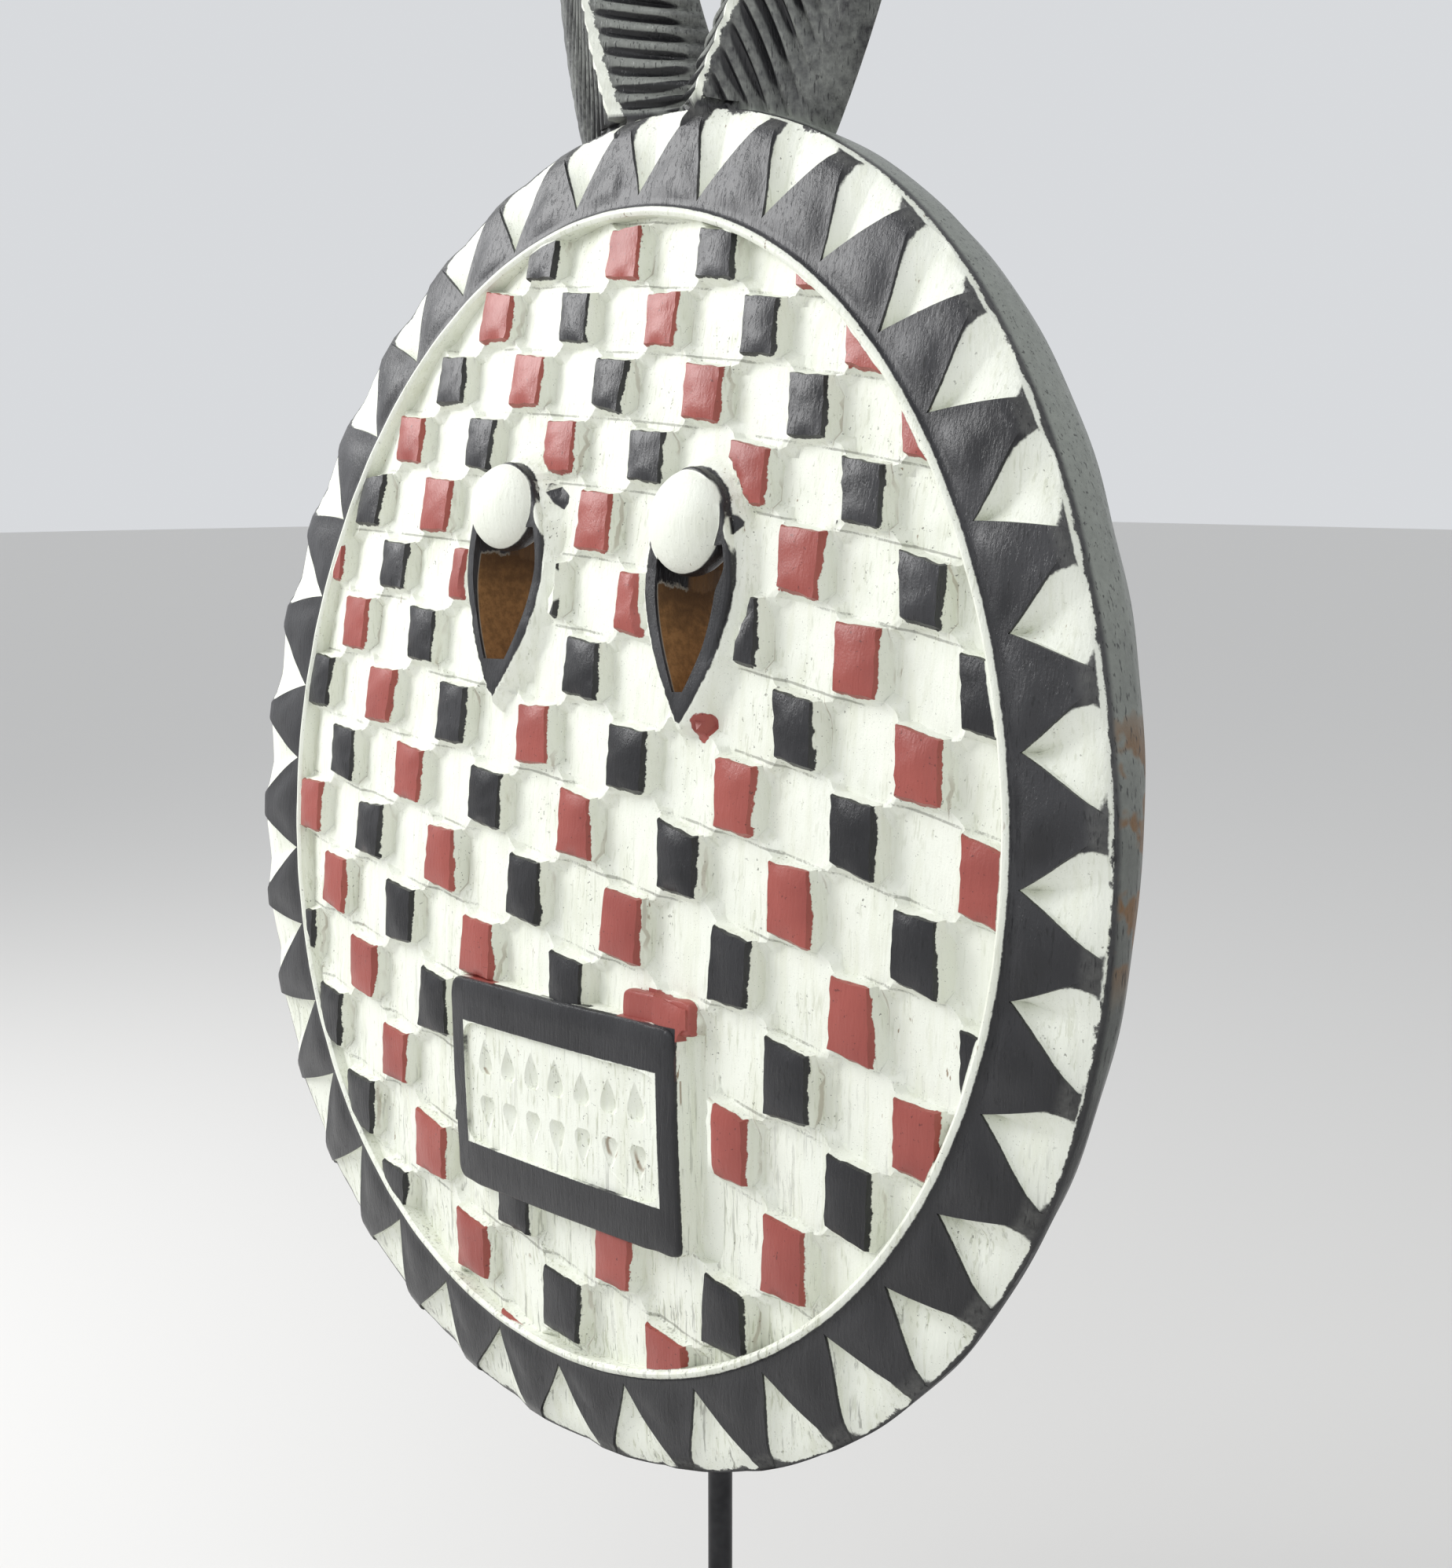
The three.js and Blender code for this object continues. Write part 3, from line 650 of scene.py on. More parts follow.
def field_slab():
    """The chequered field: a raised block has a pillowed face, and a sunk cell has a scooped floor."""
    cells = 2 * FIELD_CELLS + 1
    nodes = np.arange(2 * cells)
    number = nodes // 2 - FIELD_CELLS
    side = 2 * (nodes % 2) - 1
    u, v = np.meshgrid(number, number)
    side_u, side_v = np.meshgrid(side, side)
    raised = (u + v) % 2 == 1
    plain_u = u + side_u * np.where(raised, FACE_HALF, FLOOR_HALF)
    face_end = np.where(side_v > 0, FACE_TOP, FACE_BOTTOM) + growth(u)
    plain_v = v + side_v * np.where(raised, face_end, FLOOR_HALF)
    node_u = plain_u + CORNER_JITTER * jitter(u * 2 + side_u, v * 2 + side_v, 1)
    node_v = plain_v + CORNER_JITTER * jitter(u * 2 + side_u, v * 2 + side_v, 2)
    place = spread(len(nodes))
    low = np.minimum(place.astype(int), len(nodes) - 2)
    part = place - low
    in_face = low % 2 == 0
    along = np.where(in_face, part, crowd(part, raised[:, low]))
    tall = part[:, None]
    up = crowd(tall, raised[low][:, low]) * (1 - part) + crowd(tall, raised[low][:, low + 1]) * part
    up = np.where(in_face[:, None], tall, up)

    def between(values):
        """Values at the nodes, spread over the fine grid."""
        rows = values[:, low] * (1 - along) + values[:, low + 1] * along
        return rows[low] * (1 - up) + rows[low + 1] * up

    depth = field_depth(between(plain_u), between(plain_v))
    x, y = from_cells(between(node_u), between(node_v))
    depth = depth + rough("floor", x, y) + rough("gouge", x, y)
    away = eye_distance(x, y)
    collar = COLLAR_DEPTH * smooth(away / COLLAR_WIDTH) - DROP_RISE * smooth(1 - away / COLLAR_WIDTH)
    collar = collar + COLLAR_LIP
    depth = collar + (depth - collar) * smooth((away - 0.6 * COLLAR_WIDTH) / (0.5 * COLLAR_WIDTH))
    x = x + rough("cell across", x, y)
    y = y + rough("cell up", y, x)
    return sheet_block("field", np.stack([x, y, dome_z(x, y) - depth], axis=-1), BACK_Z + SLAB_ROOT)


def sheet_block(name, sheet, bottom):
    """A solid with a square grid of points as its top and a flat bottom."""
    count = len(sheet)
    top = sheet.reshape(-1, 3)
    index = np.arange(count * count).reshape(count, count)
    faces = np.stack([index[:-1, :-1], index[:-1, 1:], index[1:, 1:], index[1:, :-1]], axis=-1)
    faces = [tuple(face) for face in faces.reshape(-1, 4).tolist()]
    loop = np.concatenate([index[0, :-1], index[:-1, -1], index[-1, :0:-1], index[:0:-1, 0]]).tolist()
    under = top[loop].copy()
    under[:, 2] = bottom
    first = len(top)
    for k, corner in enumerate(loop):
        after = (k + 1) % len(loop)
        faces.append((corner, first + k, first + after, loop[after]))
    faces.append(tuple(first + k for k in reversed(range(len(loop)))))
    return solid(name, np.concatenate([top, under]), faces)


def field_column():
    """A column with the field's outline, which the slab is cut to."""
    angle = round_angles()
    radius = field_at(angle) + RIDGE[2][0]
    rings = [level(radius * np.sin(angle), radius * np.cos(angle), z) for z in COLUMN_ENDS]
    return solid("column", *skin((0, 0, COLUMN_ENDS[0]), rings, (0, 0, COLUMN_ENDS[1])))


def tooth_angle(k):
    even = k * 2 * math.pi / TEETH
    return even + TOOTH_START + math.radians(wobble(TOOTH_DRIFT, even))


def side_fall(out):
    """How far the front of the rim falls off at a step outwards from its edge."""
    steps, falls = zip(*SIDE[:FRONT_STEPS])
    return np.interp(out, steps, falls)


def chips():
    """The triangles cut out between the black teeth, with their points at the field."""
    parts = []
    for k in range(TEETH):
        first = tooth_angle(k) + TOOTH_GAP * (1 + CHIP_HAND["gap"] * jitter(k, 1))
        last = tooth_angle(k + 1) - TOOTH_GAP * (1 + CHIP_HAND["gap"] * jitter(k, 2))
        middle = 0.5 * (first + last) + CHIP_HAND["middle"] * jitter(k, 3)
        inner = field_at(middle) + CHIP_INSET + CHIP_HAND["inset"] * jitter(k, 4)
        outer = rim_at(middle) + 1
        deepest = CHIP_POINT_DEPTH + CHIP_HAND["point"] * jitter(k, 5)
        shallow = CHIP_RIM_DEPTH + CHIP_HAND["rim"] * jitter(k, 6)
        rings = []
        for share in CHIP_SHARES:
            wide = min(share, 1.0)
            radius = inner + (outer - inner) * share
            left = middle + (first - middle) * wide
            right = middle + (last - middle) * wide
            depth = deepest + (shallow - deepest) * wide ** CHIP_DEEPENING
            fall = FALL_SHARE * side_fall(radius - rim_at(middle))
            slope = CHIP_SLOPE * min(1, wide * 4) / radius
            crease = CHIP_CREASE + CHIP_HAND["crease"] * jitter(k, 7) + 0.1 * (1 - wide)
            foot = left + slope * 0.5
            width = right - left - slope
            ring = [(left, -ABOVE_FACE), (left, 0), (foot, depth * CHIP_FOOT)]
            for part, deep in CHIP_LEFT_SIDE:
                ring.append((foot + width * crease * part, depth * deep + fall))
            for part, deep in CHIP_RIGHT_SIDE:
                ring.append((foot + width * (crease + (1 - crease) * part),
                             depth * deep + fall + CHIP_HAND["floor"] * jitter(k, part)))
            ring += [(right, 0), (right, -ABOVE_FACE)]
            angles, depths = np.array(ring).T
            rings.append(polar(angles, radius, depths))
        parts.append(skin(polar(middle, inner - 0.2, 0.5), rings, rings[-1].mean(axis=0)))
    return joined("chips", parts)


def eye_rim(eye):
    """The raised black rim of the drop."""
    middle_x, middle_y = eye_outline(eye, margin=0, count=20)
    top = dome_z(middle_x.mean(), middle_y.mean()) + DROP_RISE
    rings = [level(*eye_outline(eye, margin, count=48), top + height) for margin, height in RIM_PROFILE]
    centre = rings[-1].mean(axis=0)
    return skin((centre[0], centre[1], top - RIM_ROOT), rings, centre)


def eye_slot(eye):
    """The slot through the lower part of the drop, blunt at its lower end."""
    start = eye["lid"]["drop"] + eye["lid"]["radii"][1] * 0.5
    down = np.linspace(start, eye["height"] - eye["slot_end"], SLOT_STEPS)
    lower = smooth((down - eye["shoulder"]) / (eye["height"] - eye["shoulder"]))
    upper_rim, lower_rim = eye["rims"]
    right_rim = upper_rim + (lower_rim - upper_rim) * smooth((down - eye["shoulder"] + 4) / 8)
    whole_half = drop_half(eye, down)
    half = whole_half - DROP_RIM * (1 - 0.3 * lower)
    right_half = np.maximum(whole_half - right_rim, SLOT_LEAST - half)
    rings = []
    for z, slant in SLOT_LEVELS:
        left = np.minimum(-half + np.minimum(slant, 1.5 * half), right_half - 1)
        x, y = eye_place(eye, np.concatenate([right_half, left[::-1]]), np.concatenate([down, down[::-1]]))
        rings.append(level(x, y, z))
    return capped(rings)


def eye_lid(eye):
    """An egg-shaped lid with its lower edge over the slot."""
    lid = eye["lid"]
    around = np.arange(LID_SIDES) * 2 * math.pi / LID_SIDES
    rings = []
    for rise in LID_RISES:
        circle = level(np.cos(around) * math.cos(rise), np.sin(around) * math.cos(rise), math.sin(rise))
        rings.append(circle * lid["radii"])
    points, faces = skin((0, 0, -lid["radii"][2]), rings, (0, 0, lid["radii"][2]))
    turn = eye["turn"]
    middle_x, middle_y = eye_place(eye, lid["across"], lid["drop"])
    x = middle_x + points[:, 0] * math.cos(turn) - points[:, 1] * math.sin(turn)
    y = middle_y + points[:, 0] * math.sin(turn) + points[:, 1] * math.cos(turn)
    shoulder_x, shoulder_y = eye_place(eye, 0, eye["shoulder"])
    base = dome_z(shoulder_x, shoulder_y) + DROP_RISE - LID_SUNK * lid["radii"][2]
    return np.stack([x, y, points[:, 2] + base], axis=-1), faces


def mouth_place(across, up, depth):
    """A point of the mouth's own plane, at a depth below the frame's front."""
    x = MOUTH_MIDDLE[0] + across * math.cos(MOUTH_TURN) - up * math.sin(MOUTH_TURN)
    y = MOUTH_MIDDLE[1] + across * math.sin(MOUTH_TURN) + up * math.cos(MOUTH_TURN)
    return np.stack([x, y, dome_z(x, y) + MOUTH_RISE - depth], axis=-1)


def rounded_block(width, height, low, high, edge=0.0, outset=0.0, middle=(0, 0), corner=BLOCK_CORNER):
    """A block in the mouth's plane with a softened front edge and sides that spread by an outset."""
    middle_x, middle_y = middle
    around = np.arange(BLOCK_STEPS) * 2 * math.pi / BLOCK_STEPS
    cosine, sine = np.cos(around), np.sin(around)

    def ring(inset, depth):
        half_w, half_h = width / 2 - inset, height / 2 - inset
        power = 2 / (2 * min(half_w, half_h) / corner)
        x = half_w * np.sign(cosine) * np.abs(cosine) ** power
        y = half_h * np.sign(sine) * np.abs(sine) ** power
        x = x + rough("frame across", x, y)
        y = y + rough("frame up", y, x)
        return mouth_place(middle_x + x, middle_y + y, depth + 0 * x)

    rings = [ring(inset, depth) for inset, depth in (
        (-outset, low), (-0.2, high + 2.2 * edge), (0, high + edge), (0.35 * edge, high + 0.3 * edge),
        (edge, high))]
    inner = ring(edge, high)[:, :2]
    centre = mouth_place(np.full(len(around), middle_x), np.full(len(around), middle_y), high)[:, :2]
    for share in (0.2, 0.4, 0.6, 0.8):
        x, y = (inner * (1 - share) + centre * share).T
        rings.append(np.stack([x, y, dome_z(x, y) + MOUTH_RISE - high], axis=-1))
    bottom, top = (mouth_place(np.array(middle_x), np.array(middle_y), depth) for depth in (low, high))
    return skin(bottom, rings, top)


def mouth_chip(across, way, number):
    """One leaf-shaped chip between two teeth, pointed at its far end."""
    width_hand, length_hand, lean_hand = LEAF_HAND
    half = LEAF_HALF + width_hand * jitter(number, way)
    near, far = LEAF_ENDS
    far = far + length_hand * jitter(number, way, 2)
    rings = []
    for share in LEAF_SHARES:
        swell = math.sin(math.pi * share ** 0.5)
        width = half * (swell ** LEAF_FULLNESS)
        up = way * (near + (far - near) * share)
        depth = PANEL_DEPTH + LEAF_DEPTH * swell
        lean = lean_hand * jitter(number, way, 3) * share
        slope = [-1.0, PANEL_DEPTH - 0.2, 0.6 * depth + 0.6]
        deep = np.array(slope + [depth] + slope[::-1])
        places = across + lean + np.array(LEAF_ACROSS) * width
        rings.append(mouth_place(places, np.full(len(deep), up), deep))
    return capped(rings)


def mouth_cuts():
    """The cuts of both rows, over and under the middle."""
    pitch = MOUTH_PANEL[0] / (MOUTH_TEETH + 0.6)
    middle = (MOUTH_TEETH - 1) / 2
    return [mouth_chip((k - middle) * pitch, way, k) for k in range(MOUTH_TEETH) for way in (1, -1)]


def horn_place(along, out, forward, side):
    """A point on a horn: a distance along it, outwards and forwards of its middle line."""
    turn_rate = (HORN_END - HORN_START) / HORN_LENGTH
    heading = HORN_START + turn_rate * along
    radius = 1 / turn_rate
    x = HORN_FOOT[0] - radius * (np.cos(heading) - math.cos(HORN_START)) + out * np.cos(heading)
    y = HORN_FOOT[1] + radius * (np.sin(heading) - math.sin(HORN_START)) - out * np.sin(heading)
    return np.stack([HORN_MIDDLE + side * x, y, HORN_Z + forward + 0 * x], axis=-1)


def fine_line(corners, steps):
    """A polyline softened into a curve through its corners."""
    corners = np.asarray(corners, dtype=float)
    last = len(corners) - 1
    place = np.linspace(0, last, steps + 1)
    low = np.minimum(place.astype(int), last - 1)
    t = (place - low)[:, None]
    before, after = np.maximum(low - 1, 0), np.minimum(low + 2, last)
    slope_a = (corners[low + 1] - corners[before]) / 2
    slope_b = (corners[after] - corners[low]) / 2
    a, b = corners[low], corners[low + 1]
    return ((2 * t ** 3 - 3 * t ** 2 + 1) * a + (t ** 3 - 2 * t ** 2 + t) * slope_a
            + (3 * t ** 2 - 2 * t ** 3) * b + (t ** 3 - t ** 2) * slope_b)


def groove_ramp(along):
    """How much of their slant the grooves have; they lie straight across near the root and the tip."""
    return np.clip(np.minimum((along + ROOT) / SLANT_RAMP[0], (HORN_LENGTH - along) / SLANT_RAMP[1]), 0, 1)


def groove_phase(along):
    return along / GROOVE_PITCH + GROOVE_STRAY * np.sin(along * STRAY_RATE)


def groove_fade(along):
    """1 on the grooved part of a horn and 0 past its end."""
    return smooth((HORN_LENGTH * GROOVED_PART - along) / GROOVE_FADE)


def horn_size(along):
    """The size of a horn's section against that at its foot, before the tip is rounded."""
    return 1 - HORN_TAPER * np.clip(along / HORN_LENGTH, 0, None) ** HORN_TAPER_POWER


def horn_section():
    """A horn's section, how deep the grooves go at each of its points, and how far they slant there."""
    section = np.concatenate([fine_line(HORN_INNER, INNER_STEPS)[:-1], fine_line(HORN_OUTER, OUTER_STEPS),
                              np.array(HORN_BACK)])
    inner = np.linspace(0, 1, INNER_STEPS + 1)[:-1]
    outer = np.linspace(0, 1, OUTER_STEPS + 1)
    outer_groove = 0.1 + 0.9 * np.sin(math.pi * np.clip(outer * 1.35 + 0.06, 0, 1))
    groove = np.concatenate([
        0.15 + 0.85 * np.sin(math.pi * np.clip(inner * 0.86 + 0.1, 0, 1)),
        outer_groove - 0.25 * smooth((outer - 0.6) / 0.1),
        np.zeros(len(HORN_BACK)),
    ])
    groove[0] = 0
    outside = slice(INNER_STEPS, INNER_STEPS + OUTER_STEPS + 3)
    slant = -SLANT_IN * section[:, 0]
    slant[outside] = SLANT_OUT * section[outside, 0]
    return section, groove, slant


def horn(side):
    """A keeled horn with slanting grooves on both faces of its lower part."""
    section, groove, slant = horn_section()
    rings = []
    for along in np.arange(-ROOT, HORN_LENGTH + TIP_LENGTH - 1, GROOVE_PITCH / GROOVE_SAMPLES):
        past = max(0.0, along - HORN_LENGTH + TIP_ROUND) / (TIP_ROUND + TIP_LENGTH)
        size = horn_size(along) * math.sqrt(1 - past ** 2)
        cut = (1 - abs(math.sin(math.pi * groove_phase(along))) ** GROOVE_SHARPNESS) * groove_fade(along)
        out, forward = section.T * size
        place = along - slant * groove_ramp(along) * size
        rings.append(horn_place(place, out * (1 - GROOVE_NARROWING * groove * cut),
                                forward - GROOVE_DEPTH * size * cut * groove, side))
    foot = horn_place(np.array(-float(ROOT)), np.array(0.0), np.array(8.0), side)
    tip = horn_place(np.array(float(HORN_LENGTH + TIP_LENGTH)), np.array(0.0), np.array(1.5), side)
    return solid("horn", *skin(foot, rings, tip))


def behind_block():
    """Everything behind the flat back."""
    far, low = 400, BACK_Z - 100
    corners = [(-far, -far), (far, -far), (far, 2 * far), (-far, 2 * far)]
    rings = [[(x, y, z) for x, y in corners] for z in (low, BACK_Z)]
    return solid("behind", *skin((0, 0, low), rings, (0, 0, BACK_Z)))


def carve_mouth(body):
    """Seats the mouth's frame in the field, with the channel and the red block beside it."""
    width, height = MOUTH_SIZE
    seat = rounded_block(width - 1, height - 1, MOUTH_SEAT, IN_FRONT)
    channel = rounded_block(*CHANNEL["size"], CHANNEL["depth"] + MOUTH_RISE, IN_FRONT,
                            middle=CHANNEL["middle"])
    corner = rounded_block(*CORNER_BLOCK["size"], CORNER_BLOCK_ROOT, MOUTH_RISE + CORNER_BLOCK_SUNK,
                           middle=CORNER_BLOCK["middle"], **CORNER_BLOCK_EDGES)
    combine(body, solid("seat", *seat), "DIFFERENCE")
    combine(body, solid("channel", *channel), "DIFFERENCE")
    combine(body, solid("corner", *corner), "UNION")
    mouth = solid("mouth", *rounded_block(*MOUTH_SIZE, MOUTH_BASE, 0, edge=0.9, outset=1.0))
    combine(mouth, solid("panel", *rounded_block(*MOUTH_PANEL, PANEL_DEPTH, -10)), "DIFFERENCE")
    combine(mouth, joined("gaps", mouth_cuts()), "DIFFERENCE")
    combine(body, mouth, "UNION")


def carve_mask():
    """The whole mask as one closed mesh, in millimetres in the disc's frame."""
    body = disc_block()
    combine(body, combine(field_slab(), field_column(), "INTERSECT"), "UNION")
    for side in (1, -1):
        combine(body, horn(side), "UNION")
    for cut in (behind_block, chips, hollow):
        combine(body, cut(), "DIFFERENCE")
    for name, shape, operation in (("rims", eye_rim, "UNION"), ("slots", eye_slot, "DIFFERENCE"),
                                   ("lids", eye_lid, "UNION")):
        combine(body, joined(name, [shape(eye) for eye in EYES]), operation)
    carve_mouth(body)
    return body


# Paint.

def operator(operation, reflected=False):
    """A method that adds a Math node for one operation, with the other value first where reflected."""
    def apply(value, other):
        return value.math(operation, *((other, value) if reflected else (value, other)))
    return apply


class Value:
    """A shader socket that can be used in sums."""

    def __init__(self, shader, socket):
        self.shader = shader
        self.socket = socket

    def math(self, operation, *values):
        return self.shader.node("ShaderNodeMath", {"operation": operation}, dict(enumerate(values)))

    __add__ = operator("ADD")
    __radd__ = operator("ADD", reflected=True)
    __sub__ = operator("SUBTRACT")
    __rsub__ = operator("SUBTRACT", reflected=True)
    __mul__ = operator("MULTIPLY")
    __rmul__ = operator("MULTIPLY", reflected=True)
    greatest = operator("MAXIMUM")

    def absolute(self):
        return self.math("ABSOLUTE", self)

    def rises(self, low, high):
        """0 below low, 1 above high, and smooth between them."""
        return self.shader.node("ShaderNodeMapRange", {"interpolation_type": "SMOOTHSTEP"},
                                {"Value": self, "From Min": low, "From Max": high})

    def falls(self, low, high):
        return 1 - self.rises(low, high)


class Shader:
    """Builds one material's nodes."""

    def __init__(self, name):
        self.material = bpy.data.materials.new(name)
        self.material.use_nodes = True
        self.tree = self.material.node_tree
        self.tree.nodes.clear()

    def node(self, kind, settings=None, inputs=None, output=0):
        """Adds a node, sets its settings first and then its sockets' values or links."""
        made = self.tree.nodes.new(kind)
        for name, value in (settings or {}).items():
            setattr(made, name, value)
        for name, value in (inputs or {}).items():
            socket = made.inputs[name]
            if isinstance(value, Value):
                self.tree.links.new(value.socket, socket)
            else:
                socket.default_value = value
        return None if output is None else Value(self, made.outputs[output])

    def mix(self, share, first, second):
        """A colour that goes from the first to the second with the share."""
        factor, colour_a, colour_b, result = 0, 6, 7, 2
        sockets = {factor: share, colour_a: first, colour_b: second}
        return self.node("ShaderNodeMix", {"data_type": "RGBA"}, sockets, output=result)

    def parts(self, vector):
        return [self.node("ShaderNodeSeparateXYZ", {}, {"Vector": vector}, output=k) for k in range(3)]

    def attribute(self, name):
        """The three parts of an attribute painted on the vertices."""
        return self.parts(self.node("ShaderNodeAttribute", {"attribute_name": name}, output="Vector"))

    def place(self, stretch=(1, 1, 1)):
        """The object's own coordinates in metres, stretched."""
        here = self.node("ShaderNodeTexCoord", output="Object")
        return self.node("ShaderNodeVectorMath", {"operation": "MULTIPLY"}, {0: here, 1: stretch})

    def noise(self, scale, detail=2.0, roughness=0.5, stretch=(1, 1, 1)):
        return self.node("ShaderNodeTexNoise", {}, {
            "Vector": self.place(stretch), "Scale": scale, "Detail": detail, "Roughness": roughness})

    def bump(self, height, strength, distance):
        return self.node("ShaderNodeBump", {}, {
            "Height": height, "Strength": strength, "Distance": distance})

    def finish(self, sockets):
        surface = self.node("ShaderNodeBsdfPrincipled", {}, sockets)
        self.node("ShaderNodeOutputMaterial", {}, {"Surface": surface}, output=None)
        return self.material


# What is painted on the vertices for the paint to follow: the attributes, and the parts of each.
PLACES = {
    "cell": ("u", "v", "cut"),
    "carving": ("carved", "side", "back"),
    "edge": ("border", "rim", "eye"),
    "features": ("mouth_x", "mouth_y", "lid"),
    "horn": ("along", "out", "on_horn"),
    "marks": ("black_mark", "red_mark", "clear"),
    "relief": ("groove", "inner_face"),
}
# Where a distance stops counting.
FAR_EYE = 40.0
FAR_LID = 20.0
FAR_MARK = 9.0
MARK_REACH = 20
# The drop's edge goes round the lid down to a step below the lid's middle, and fades over a step.
ROUND_LID_TO = 9
ROUND_LID_OVER = 8
# Where the rim's paint spills over, at the lower right of an eye: from a place on, over a step.
SPILL_FROM = (2, 30)
SPILL_OVER = (8, 10)
# Where the cells' paint comes closer to the left eye, and by how much.
CLOSER_FROM = (4, 28)
CLOSER_OVER = 8
CLOSER = 2.6
RED_MARK_NARROWING = 1.5
# The grooved faces of the horns: their widths outwards and inwards, how they fade at their edges,
# and from where in front of a horn's own plane the grooves get their painted shade.
HORN_FACES = (22, 26)
FACE_FADES = (0.18, 0.3)
GROOVE_FRONT = -1
GROOVE_FRONT_FADE = 2
# A horn's own paint starts a step outside the rim, above a height.
HORN_PAINT_FROM = 2.2
HORN_PAINT_FADE = 1.6
HORN_PAINT_ABOVE = 120
# The paint ends a step behind a horn's plane, which narrows with the horn, and a step before the back.
HORN_BACK_DEPTH = 1.2
HORN_BACK_FADE = 0.8
BACK_PAINT_DEPTH = 1.6
BACK_PAINT_FADE = 0.8
# The side's depth is measured from a step inside the rim.
SIDE_FROM = 14
NO_SIDE = -5


def lower_right(across, down, start, over):
    """1 at the lower right of an eye, from a start on, and 0 elsewhere."""
    return (smooth((across - start[0]) / over[0]) * smooth((down - start[1]) / over[1])
            * (across < FAR_EYE))


def eye_places(x, y):
    """Distances from the eyes' drops and from their lids, with the rim drawn round the lids."""
    near = np.hypot(x, y) < FIELD_RADIUS
    eye = np.full(len(x), FAR_EYE)
    eye[near] = np.minimum(FAR_EYE, eye_distance(x[near], y[near]))
    lid = np.full(len(x), FAR_LID)
    for one in EYES:
        across, down = eye_across(one, x, y)
        wide, high, _ = one["lid"]["radii"]
        seen = np.hypot((across - one["lid"]["across"]) / wide, (down - one["lid"]["drop"]) / high)
        from_lid = (seen - LID_SHARE) * wide
        lid = np.minimum(lid, from_lid)
        upper = smooth((one["lid"]["drop"] + ROUND_LID_TO - down) / ROUND_LID_OVER) * (from_lid < FAR_LID)
        eye = eye + (np.maximum(eye, from_lid - LID_LINE) - eye) * upper
        spill = lower_right(across, down, SPILL_FROM, SPILL_OVER)
        eye = np.where(np.abs(across) < FAR_EYE, eye - RIM_SPILL * spill * smooth(eye / 0.5), eye)
    return eye, lid


def clear_places(x, y, eye):
    """How far a cell's own paint stays off the eyes, and off the block that has lost it."""
    across, down = eye_across(EYES[0], x, y)
    closer = CLOSER * lower_right(across, down, CLOSER_FROM, (CLOSER_OVER, CLOSER_OVER))
    bare_x, bare_y, reach = BARE_PLACE
    return np.minimum(eye - closer, np.hypot(x - bare_x, y - bare_y) - reach + COLLAR_WIDTH)


def mark_places(x, y):
    """Distances from the black marks and from the red one."""
    black_mark = np.full(len(x), FAR_MARK)
    for outline in BLACK_MARKS:
        near = np.hypot(x - outline[0][0], y - outline[0][1]) < MARK_REACH
        distance = outline_distance(x[near], y[near], *np.array(outline).T)
        black_mark[near] = np.minimum(black_mark[near], distance)
    (red_x, red_y), red_radius = RED_MARK
    return black_mark, np.hypot((x - red_x) * RED_MARK_NARROWING, y - red_y) - red_radius


def horn_places(x, y):
    """How far up its horn a point lies, and how far out from the horn's middle line."""
    turn_rate = (HORN_END - HORN_START) / HORN_LENGTH
    bow = 1 / turn_rate
    bow_x = np.abs(x - HORN_MIDDLE) - (HORN_FOOT[0] + bow * math.cos(HORN_START))
    bow_y = y - (HORN_FOOT[1] - bow * math.sin(HORN_START))
    return (np.arctan2(-bow_y, bow_x) - HORN_START) / turn_rate, np.hypot(bow_x, bow_y) + bow


def groove_places(along, out, on_horn, z):
    """Where the grooves are on the fronts of the horns, and where the inner grooved faces, for painted
    shade and highlight.
    """
    size = horn_size(np.minimum(along, HORN_LENGTH))
    slant = np.where(out > 0, SLANT_OUT * out, -SLANT_IN * out) * groove_ramp(along)
    outer_face, inner_face = HORN_FACES
    across = np.where(out > 0, out / (outer_face * size), -out / (inner_face * size))
    face = smooth(across / FACE_FADES[0]) * smooth((1.0 - across) / FACE_FADES[1]) * on_horn
    face = face * groove_fade(along) * smooth((z - HORN_Z - GROOVE_FRONT) / GROOVE_FRONT_FADE)
    groove = (0.5 + 0.5 * np.cos(2 * math.pi * groove_phase(along + slant))) * face
    return groove, face * (out < 0), size


